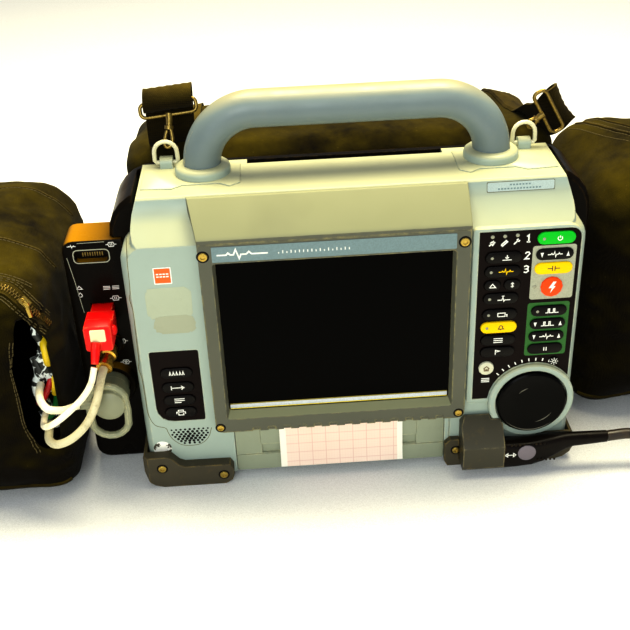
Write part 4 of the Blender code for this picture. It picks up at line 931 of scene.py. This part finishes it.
def plug_details():
    add_mesh("plug_mark", pictogram(bmesh.new(), "both_ways", 123.5, 21.5, 2.4, -24.1, 0.8), WHITE_INK)
    mauve = moulded("mauve_grey", (0.17, 0.145, 0.17), 0.4, None, 0.6, 0.02, 0.4, 0.1)
    disc = [(7.5, -0.2), (7.5, 0.3), (7.0, 0.6), (0, 0.7)]
    add_mesh("plug_disc", button(bmesh.new(), (137.0, -24.0, 23.0), disc, 36), mauve)
    ribs = bmesh.new()
    for first, z, count in ((124.0, 31.2, 9), (147.0, 14.5, 5)):
        for k in range(count):
            button(ribs, (first + 3.4 * k, -23.7, z), [(0.9, -0.2), (0.9, 0.4), (0.5, 0.7), (0, 0.8)], 10)
    add_mesh("plug_ribs", ribs, PLUG)


def dial_painted_glints():
    """Three thin bright arcs on the dial: painted glints for the lacquer's reflections."""
    painted_glints = bmesh.new()
    for r, y, first, last in ((21.0, -7.62, -78, -34), (13.5, -6.34, 104, 142), (26.6, -9.45, -140, -50)):
        line = [polar(DIAL_X, DIAL_Z, r, a) for a in range(first, last + 1, 2)]
        sweep(painted_glints, [Vector((x, y, z)) for x, z in line],
              lambda share: 0.05 + 0.42 * math.sin(math.pi * share), 8)
    # A pale lacquer colour for the painted glints.
    lacquer = moulded("painted_glint_lacquer", (0.16, 0.15, 0.11), 0.25, None, 2.0, 0.02, 0.3, 0.3)
    add_mesh("dial_painted_glints", painted_glints, lacquer, "speed_dial")


# ---- handle
POST_X, POST_Y, DECK_Z = 113.0, 64.0, 251.6        # the handle's posts, and where they meet the deck


def handle_route(lift=0.0):
    axis_z, bend = 301.4, 43.0
    right = [(POST_X + lift, POST_Y, 252.0), (POST_X + lift, POST_Y, axis_z - bend)]
    right += [(x, POST_Y, z) for x, z in arc(POST_X - bend, axis_z - bend, bend + lift, 0, 90, 22)[1:]]
    return [Vector(p) for p in right + [(-x, y, z) for x, y, z in reversed(right)]]


def deck_plate(bm, side):
    """A low plate round the foot of a handle post."""
    corners = [(160, 77), (160, 36), (136, 34), (128, 40), (100, 40), (92, 34), (84, 40), (84, 77)]
    outline = [(side * x, y) for x, y in (corners if side < 0 else reversed(corners))]
    cx, cy = side * 122, 57
    rows = [[bm.verts.new(at(x * k + cx * (1 - k), y * k + cy * (1 - k), z)) for x, y in outline]
            for k, z in ((1.0, DECK_Z - 0.05), (0.995, DECK_Z + 0.6), (0.985, DECK_Z + 0.8))]
    walls(bm, rows)
    bm.faces.new(rows[-1][::-1])


def make_handle():
    piece = add_mesh("grip_tube", sweep(bmesh.new(), handle_route(), 14.6, 40), HANDLE)
    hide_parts("handle")
    ridge = [p + Vector((0, -6.5, -1.4)) for p in handle_route(13.2)]
    add_mesh("grip_parting_ridge", sweep(bmesh.new(), ridge, 0.6, 8), HANDLE)
    collars, plates = bmesh.new(), bmesh.new()
    collar = [(21.6, 0), (21.6, 4.2), (21.0, 6.2), (19.2, 7.6), (16.6, 8.2), (14.4, 8.3)]
    for side in (-1, 1):
        turned(collars, (side * POST_X, POST_Y, DECK_Z), (0, 0, 1), collar, 48)
        deck_plate(plates, side)
    add_mesh("grip_collars", collars, CASE)
    bmesh.ops.recalc_face_normals(plates, faces=plates.faces)
    add_mesh("deck_plates", plates, CASE)


# ---- pouches
CLOTH_FRAMES = 20


def from_arrays(name, places, faces, material):
    mesh = bpy.data.meshes.new(name)
    mesh.from_pydata(places, [], faces)
    mesh.materials.append(material)
    mesh.shade_smooth()
    return shown(name, mesh)


def settled(piece):
    """A piece's vertices and faces with its modifiers worked out."""
    bpy.context.view_layer.update()
    held = piece.evaluated_get(bpy.context.evaluated_depsgraph_get())
    mesh = held.to_mesh()
    result = [v.co.copy() for v in mesh.vertices], [tuple(p.vertices) for p in mesh.polygons]
    held.to_mesh_clear()
    return result


def swell(piece, cap_mm, pressure):
    """Air pressure fills the cloth; no point moves further than the cap."""
    start = [v.co.copy() for v in piece.data.vertices]
    cloth = piece.modifiers.new("cloth", "CLOTH")
    cloth.settings.use_pressure = True
    cloth.settings.uniform_pressure_force = pressure
    cloth.settings.effector_weights.gravity = 0.0
    cloth.settings.quality = 4
    cloth.point_cache.frame_start, cloth.point_cache.frame_end = 1, CLOTH_FRAMES
    for step in range(1, CLOTH_FRAMES + 1):
        bpy.context.scene.frame_set(step)
    places, _ = settled(piece)
    piece.modifiers.remove(cloth)
    bpy.context.scene.frame_set(1)
    for vertex, a, b in zip(piece.data.vertices, start, places):
        move = b - a
        vertex.co = a + move * min(1.0, cap_mm * MM / max(move.length, 1e-9))


def remade(name, piece):
    """A new piece from another's settled mesh, which goes; with the new one's points and their normals."""
    places, faces = settled(piece)
    bpy.data.objects.remove(piece)
    bag = from_arrays(name, places, faces, NYLON)
    return bag, places, [v.normal.copy() for v in bag.data.vertices]


def put_points(piece, places):
    piece.data.vertices.foreach_set("co", [number for place in places for number in place])
    piece.data.update()


def wrinkled(p, normal, folds, sags):
    """A bag's point moved along its normal by folds, creases, wrinkles and sags, less so near the floor."""
    mm, (big, crease, fine) = mm_of(p), folds
    push = noise.noise(Vector((mm.x / 46, mm.y / 46, mm.z / 70))) * big
    push -= abs(noise.noise(Vector((mm.x / 30 + 7, mm.y / 30, mm.z / 22)))) * crease
    push += noise.noise(Vector((mm.x / 11, mm.y / 11 + 3, mm.z / 9))) * fine + crease * 0.25
    for centre, radius, depth in sags:
        push -= depth * math.exp(-((mm - Vector(centre)).length / radius) ** 2)
    moved = p + normal * push * MM * (0.2 + 0.8 * clamped(mm.z, 4.0, 18.0))
    moved.z = max(moved.z, 0.0006)
    return moved


def soft_bag(name, node, voxel_mm, shrink_mm, cap_mm, folds, sags=()):
    """A bag of padded nylon from a CAD solid: remeshed, swollen, rounded, then wrinkled and sagged."""
    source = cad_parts[node].data
    draft = from_arrays(name + "_draft", [v.co.copy() for v in source.vertices],
                        [tuple(p.vertices) for p in source.polygons], NYLON)
    draft.modifiers.new("welded", "WELD").merge_threshold = 1e-6
    remesh = draft.modifiers.new("remesh", "REMESH")
    remesh.mode, remesh.voxel_size = "VOXEL", voxel_mm * MM
    bag, places, normals = remade(name, draft)
    put_points(bag, [p - n * shrink_mm * MM for p, n in zip(places, normals)])
    swell(bag, cap_mm, pressure=4.0)
    smooth = bag.modifiers.new("smooth", "SMOOTH")
    smooth.factor, smooth.iterations = 0.5, 4
    finer = bag.modifiers.new("finer", "SUBSURF")
    finer.levels = finer.render_levels = 1
    bag, places, normals = remade(name, bag)
    put_points(bag, [wrinkled(p, n, folds, sags) for p, n in zip(places, normals)])
    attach(bag, "unit")
    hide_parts(node)
    bm = bmesh.new()
    bm.from_mesh(bag.data)
    skin = BVHTree.FromBMesh(bm)
    bm.free()
    return skin


def nearest_on(skin, p):
    """The nearest place on a bag's surface in mm, and the surface's direction there."""
    place, normal, _, _ = skin.find_nearest(at(*p))
    return mm_of(place), normal


def on_skin(skin, points, step_mm=3.0):
    """Points laid on a bag's surface along a smooth route, with the surface's direction at each."""
    return [nearest_on(skin, p) for p in smooth_route(points, step_mm)]


def thread_rows(bm, skin, points, asides_mm=(0.0,), pitch_mm=3.6, stitch_mm=2.4, radius_mm=0.42):
    """Rows of separate stitches beside a route, each laid on the fabric and standing just proud of it."""
    laid = on_skin(skin, points, pitch_mm)
    for (a, normal), (b, _) in zip(laid, laid[1:]):
        ahead = (b - a).normalized()
        side = ahead.cross(normal).normalized()
        for aside in asides_mm:
            start = a + side * aside
            (p, n), (q, m) = nearest_on(skin, start), nearest_on(skin, start + ahead * stitch_mm)
            if (q - p).length > 0.5:
                sweep(bm, [p - n * 0.4, p + n * 0.2, q + m * 0.2, q - m * 0.4], radius_mm, 5)


def tape(bm, rows):
    """A solid band from its cross-sections."""
    walls(bm, rows, turned_over=True)
    bm.faces.new(rows[0][::-1])
    bm.faces.new(rows[-1])
    bmesh.ops.recalc_face_normals(bm, faces=bm.faces)
    return bm


def ribbon(bm, laid, width_mm, lift_mm, thick_mm):
    """A flat tape laid along a route on a bag."""
    rows, path = [], [p for p, _ in laid]
    for i, (p, normal) in enumerate(laid):
        side = heading(path, i).cross(normal).normalized() * (width_mm / 2)
        top, low = normal * (lift_mm + thick_mm), normal * lift_mm
        rows.append([bm.verts.new(at(*q)) for q in (p + side + low, p + side + top, p - side + top,
                                                    p - side + low)])
    return tape(bm, rows)


def block(bm, centre, ahead, side, up, size):
    """A box in mm with its edges along three directions."""
    long, wide, tall = (axis * (length / 2) for axis, length in zip((ahead, side, up), size))
    corners = [bm.verts.new(at(*(centre + long * i + wide * j + tall * k)))
               for k in (-1, 1) for j in (-1, 1) for i in (-1, 1)]
    for face in ((0, 2, 3, 1), (4, 5, 7, 6), (0, 1, 5, 4), (2, 6, 7, 3), (0, 4, 6, 2), (1, 3, 7, 5)):
        bm.faces.new([corners[i] for i in face])


def zip_fastener(name, skin, points, puller_share):
    """A tape with brass teeth, and a slider with its pull tab at a share of the way."""
    laid = on_skin(skin, points)
    path = [p for p, _ in laid]

    def axes(p, normal):
        ahead = heading(path, min(range(len(path)), key=lambda i: (path[i] - p).length))
        return ahead, ahead.cross(normal).normalized()
    add_mesh(name + "_tape", ribbon(bmesh.new(), laid, 10.0, 0.25, 0.7), WEBBING)
    teeth = bmesh.new()
    for i, (p, normal) in enumerate(on_skin(skin, points, 1.3)):
        ahead, side = axes(p, normal)
        flip = 1 if i % 2 else -1
        block(teeth, p + normal * 1.6 + side * flip * 1.1, ahead, side, normal, (0.9, 2.6, 1.2))
    add_mesh(name + "_teeth", teeth, DARK_BRASS)
    p, normal = laid[int(puller_share * (len(laid) - 1))]
    ahead, side = axes(p, normal)
    slider = bmesh.new()
    block(slider, p + normal * 3.0, ahead, side, normal, (8.0, 6.5, 2.4))
    bridge = [p + normal * rise + ahead * far for rise, far in ((3.6, -3), (5.8, -1), (5.8, 2), (3.6, 4))]
    sweep(slider, bridge, 0.8, 8)
    tab = [p + normal * 4.6 + ahead * t * 0.4 + Vector((-0.1, 0, -0.55)) * t for t in (0, 5, 10, 15)]
    sweep(slider, tab, lambda share: 1.9 - 0.7 * abs(share - 0.5), 8)
    sharp = [e for e in slider.edges if e.calc_face_angle(0) > 1.2]
    bmesh.ops.bevel(slider, geom=sharp, offset=0.0004, segments=2, affect="EDGES")
    add_mesh(name + "_slider", slider, SCREW_BRASS)


def piping(bm, skin, points, radius_mm=1.6):
    sweep(bm, [p + n * 0.3 for p, n in on_skin(skin, points)], radius_mm, 8)


def left_pouch(threads, seams):
    """The open pouch: its zip with rows of stitches, the lid's seam, two piped bands and the mouth's rim."""
    skin = soft_bag("left_pouch", "pouch_left", 5.0, 1.0, 3.0, (2.4, 2.0, 0.6),
                    (((-300, -20, 120), 60, 2.0), ((-355, 90, 110), 70, 3.0)))
    zip_line = [(-345, 8, 186), (-325, -2, 196), (-300, -4, 200), (-282, -3, 201), (-267, -2, 198),
                (-261, -2, 193.5), (-254.5, -4, 187), (-248.8, -6, 181), (-245.0, -5, 175), (-242, 1, 166),
                (-239, 6, 157)]
    zip_fastener("left_zip", skin, zip_line, 0.77)
    thread_rows(threads, skin, zip_line, (7.0, 9.4, -7.0, -9.4))
    lid_seam = [(-345, 26, 200), (-310, 16, 206), (-285, 13, 206), (-268, 13, 201), (-255, 10, 197),
                (-246, 12, 189)]
    thread_rows(threads, skin, lid_seam, (0.0, 2.6))
    for y in (60, 160):
        edge = [(x, y, z) for x, z in ((-352, 60), (-353, 150), (-346, 192), (-322, 206), (-280, 208),
                                       (-250, 198), (-236, 180))]
        thread_rows(threads, skin, edge, (1.6, -1.6))
        piping(seams, skin, edge, 0.9)
    mouth_rim = [(-262, -22, 50), (-266.5, -22, 74), (-267, -22, 118), (-263.5, -22, 156)]
    thread_rows(threads, skin, mouth_rim, (0.0, 2.6))
    piping(seams, skin, [(-352, -8, 14), (-320, -18, 12), (-280, -18, 12), (-240, -10, 14)])


def right_pouch(threads, seams):
    """The big pouch: three rows across its top, two of them piped, and a low seam."""
    skin = soft_bag("right_pouch", "pouch_right", 6.0, -1.0, 6.0, (2.6, 2.0, 0.6),
                    (((275, 52, 120), 60, 3.0), ((200, 205, 222), 45, -9.0), ((285, 130, 227), 95, -4.0)))
    top = [(214, 192, 230), (236, 152, 231), (262, 112, 232), (292, 82, 232), (322, 64, 228), (334, 56, 216)]
    for shift, asides, piped in ((-9.0, (0.0,), False), (2.0, (2.6, -2.6), True), (13.0, (0.0, 2.4), True)):
        row = [(x + shift, y + 0.4 * shift, z) for x, y, z in top]
        thread_rows(threads, skin, row, asides)
        if piped:
            piping(seams, skin, row, 1.1)
    piping(seams, skin, [(200, 60, 18), (240, 52, 14), (300, 52, 14), (350, 62, 18)])


def rear_pouch(threads, seams):
    """The pouch behind the handle: two rows round it and two over its top."""
    skin = soft_bag("rear_pouch", "pouch_rear", 6.0, 1.0, 5.0, (2.2, 1.6, 0.5))
    for z in (150, 216):
        row = [(x, y, z) for x, y in ((-182, 210), (-150, 238), (-60, 240), (60, 240), (150, 238),
                                      (180, 210))]
        piping(seams, skin, row, 1.3)
        thread_rows(threads, skin, row, (3.4,))
    for x in (-120, 118):
        thread_rows(threads, skin, [(x, 104, 250), (x, 150, 256), (x, 210, 256), (x, 236, 244)])
    return skin


def make_pouches():
    """All three pouches; the rear one's skin is handed on, because the straps lie on it."""
    threads, seams = bmesh.new(), bmesh.new()
    left_pouch(threads, seams)
    right_pouch(threads, seams)
    rear_skin = rear_pouch(threads, seams)
    add_mesh("pouch_threads", threads, THREAD)
    add_mesh("pouch_piping", seams, WEBBING)
    return rear_skin


def make_leads():
    """What shows in the left pouch's mouth: folded patient leads, some in a patterned sleeve."""
    n = Nodes("patterned_sleeve", 0.5)
    blots = n.window(n.noise(8.0, 2, 0.5, None, 1.5), 0.47, 0.50)
    sleeve = n.done(n.mix(blots, (0.80, 0.84, 0.80), (0.02, 0.022, 0.018)), n.bump(blots, 0.15))
    looks = {"white": sleeve, "red": jacket("red_lead", (0.50, 0.006, 0.008), (0.2, 0.01, 0.01)),
             "yellow": jacket("yellow_lead", (0.85, 0.60, 0.01), (0.45, 0.30, 0.01)),
             "blue": jacket("blue_lead", (0.03, 0.09, 0.16), (0.01, 0.03, 0.06)),
             "green": jacket("green_lead", (0.008, 0.16, 0.025), (0.005, 0.05, 0.01))}
    runs = [
        ("white", 5.2, [(-250, 12, 64), (-256, 9, 80), (-258, 8, 98), (-254, 9, 112), (-256, 12, 124)]),
        ("white", 4.6, [(-248, 14, 92), (-247, 10, 106), (-251, 9, 122), (-248, 12, 136), (-252, 14, 150)]),
        ("white", 3.2, [(-250, 16, 128), (-249, 9, 140), (-252, 8, 150), (-249, 12, 160), (-255, 15, 163)]),
        ("yellow", 3.6, [(-248, 16, 142), (-246, 6, 139), (-245, 3, 130), (-246, 7, 121), (-249, 14, 120)]),
        ("red", 2.6, [(-246, 14, 110), (-247, 6, 104), (-251, 4, 95), (-257, 8, 84), (-262, 14, 78)]),
        ("yellow", 2.6, [(-243, 14, 112), (-244, 7, 106), (-245, 6, 98), (-247, 12, 88)]),
        ("blue", 2.4, [(-240.5, 15, 110), (-242.5, 9, 104), (-243, 9, 96), (-247, 16, 88)]),
        ("green", 3.0, [(-246, 16, 84), (-247, 6, 78), (-252, 4, 72), (-258, 10, 66)]),
        ("white", 4.4, [(-244, 16, 60), (-250, 7, 62), (-254, 6, 66), (-259, 12, 72)]),
    ]
    meshes = {}
    for colour, radius, points in runs:
        sweep(meshes.setdefault(colour, bmesh.new()), smooth_route(points, 2.0), radius, 14)
    for colour, bm in meshes.items():
        add_mesh("packed_leads_" + colour, bm, looks[colour])


# ---- shoulder strap ends
def strap_hook(foot, ring_low, across, upward):
    """A swivel hook: a shank under the loop, a barrel, and a claw round the strap ring's lowest point."""
    span = foot - ring_low
    barrel = foot - span * 0.3
    hook = bmesh.new()
    sweep(hook, [foot + upward * 2.5, foot - span * 0.12, barrel], lambda share: 3.0 - 0.6 * share, 14)
    sweep(hook, [barrel, barrel - span * 0.06, barrel - span * 0.12], 3.6, 14)
    bends = [(0.1, 1.2), (0.3, 2.4), (0.5, 3.2), (0.66, 1.8), (0.70, -0.6), (0.62, -2.6), (0.45, -3.0),
             (0.15, -1.6)]
    claw = [barrel - span * down + across * aside for down, aside in bends]
    return sweep(hook, smooth_route(claw, 1.2), 1.5, 10)


CASE_BACK_Y, ON_POUCH_Y = 122.0, 144.0            # from hanging over the case to lying on the rear pouch


def strap_band(route, across, half_mm, skin):
    """Ribbed webbing along a route; it lies on the rear pouch wherever the route is behind the case."""
    def laid(q, lift):
        share = clamped(q.y, CASE_BACK_Y, ON_POUCH_Y)
        place, normal = nearest_on(skin, q)
        return at(*(q * (1 - share) + (place + normal * lift) * share))
    band, rows, last = bmesh.new(), [], len(route) - 1
    for i, p in enumerate(route):
        ease, ahead = clamped(i / last, 0.3, 0.7), heading(route, i)
        wide = across * (1 - ease) + Vector((1, 0, 0)) * ease
        wide = (wide - ahead * wide.dot(ahead)).normalized()
        up = wide.cross(ahead).normalized()
        row = []
        for k in range(13):
            rib = 0.22 * math.cos(math.pi * k)
            row.append(laid(p + wide * (half_mm * (k / 6 - 1)) + up * (1.0 + rib), 2.6 + rib))
        row += [laid(p + wide * (half_mm * (k / 6 - 1)) - up, 0.6) for k in range(12, -1, -1)]
        rows.append([band.verts.new(q) for q in row])
    return tape(band, rows)


def strap_end(side, ring_low, centre, across, half_mm, stations, skin):
    """Webbing through a rectangular loop, and a swivel hook from the loop down into the strap ring."""
    body = "strap_ring_" + side
    ring_low, centre, across = Vector(ring_low), Vector(centre), Vector(across).normalized()
    outward = across.cross((centre - ring_low).normalized()).normalized()
    upward = outward.cross(across).normalized()
    rim = rounded(-half_mm - 3, half_mm + 3, -5.0, 5.5, 4.0, 6)
    loop = sweep(bmesh.new(), [centre + across * u + upward * v for u, v in rim], 1.5, 10, closed=True)
    add_mesh("strap_loop_" + side, loop, DARK_BRASS, body)
    hook = strap_hook(centre - upward * 6.0, ring_low, across, upward)
    add_mesh("strap_hook_" + side, hook, DARK_BRASS, body)
    band = strap_band(smooth_route(stations, 2.0), across, half_mm, skin)
    strap = add_mesh("strap_webbing_" + side, band, WEBBING, body=None)
    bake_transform(strap)


def make_straps(skin):
    strap_end("left", (-139.5, 80, 267.5), (-137.2, 89.5, 296.0), (1, 0, 0.10), 19.0,
              [(-137.6, 96, 295.4), (-137.5, 91, 295.2), (-137.4, 87.0, 297.6), (-137.1, 86.2, 303),
               (-136.8, 88.4, 308.8), (-136.6, 93.4, 311.6), (-136.8, 99, 308.5), (-137.4, 102.5, 298),
               (-138, 104, 284), (-138.5, 107, 268), (-139, 115, 258.6), (-139, 135, 257.2),
               (-138, 175, 256.0), (-137.5, 218, 255.4), (-137.5, 236, 249), (-137.5, 242.5, 236),
               (-137.5, 243.0, 205), (-137.5, 243.0, 160)], skin)
    strap_end("right", (146.0, 82, 268.0), (161.0, 81.0, 279.4), (0.48, 0.05, -0.87), 16.0,
              [(165, 81.5, 281.4), (168.5, 82, 283.4), (171.8, 84, 284.6), (173.6, 87.5, 284.4),
               (173.4, 92, 281.5), (171.6, 97, 276), (168.5, 104, 267.5), (164, 115, 260.3),
               (158, 132, 257.0), (154, 165, 255.6), (152, 217, 255.2), (152, 235, 249), (152, 241.5, 236),
               (152, 242.5, 205), (152, 242.5, 160)], skin)


# ---- making everything
make_camera()
make_cords()
make_room()
dress_nodes()
print_keys()
square_label()
glue_marks()
name_strip()
speaker_holes()
left_seam()
foil_disc()
deck_label()
print_connectors()
screws()
window_ledge_painted_light()
plug_details()
dial_painted_glints()
make_handle()
rear_skin = make_pouches()
make_leads()
make_straps(rear_skin)
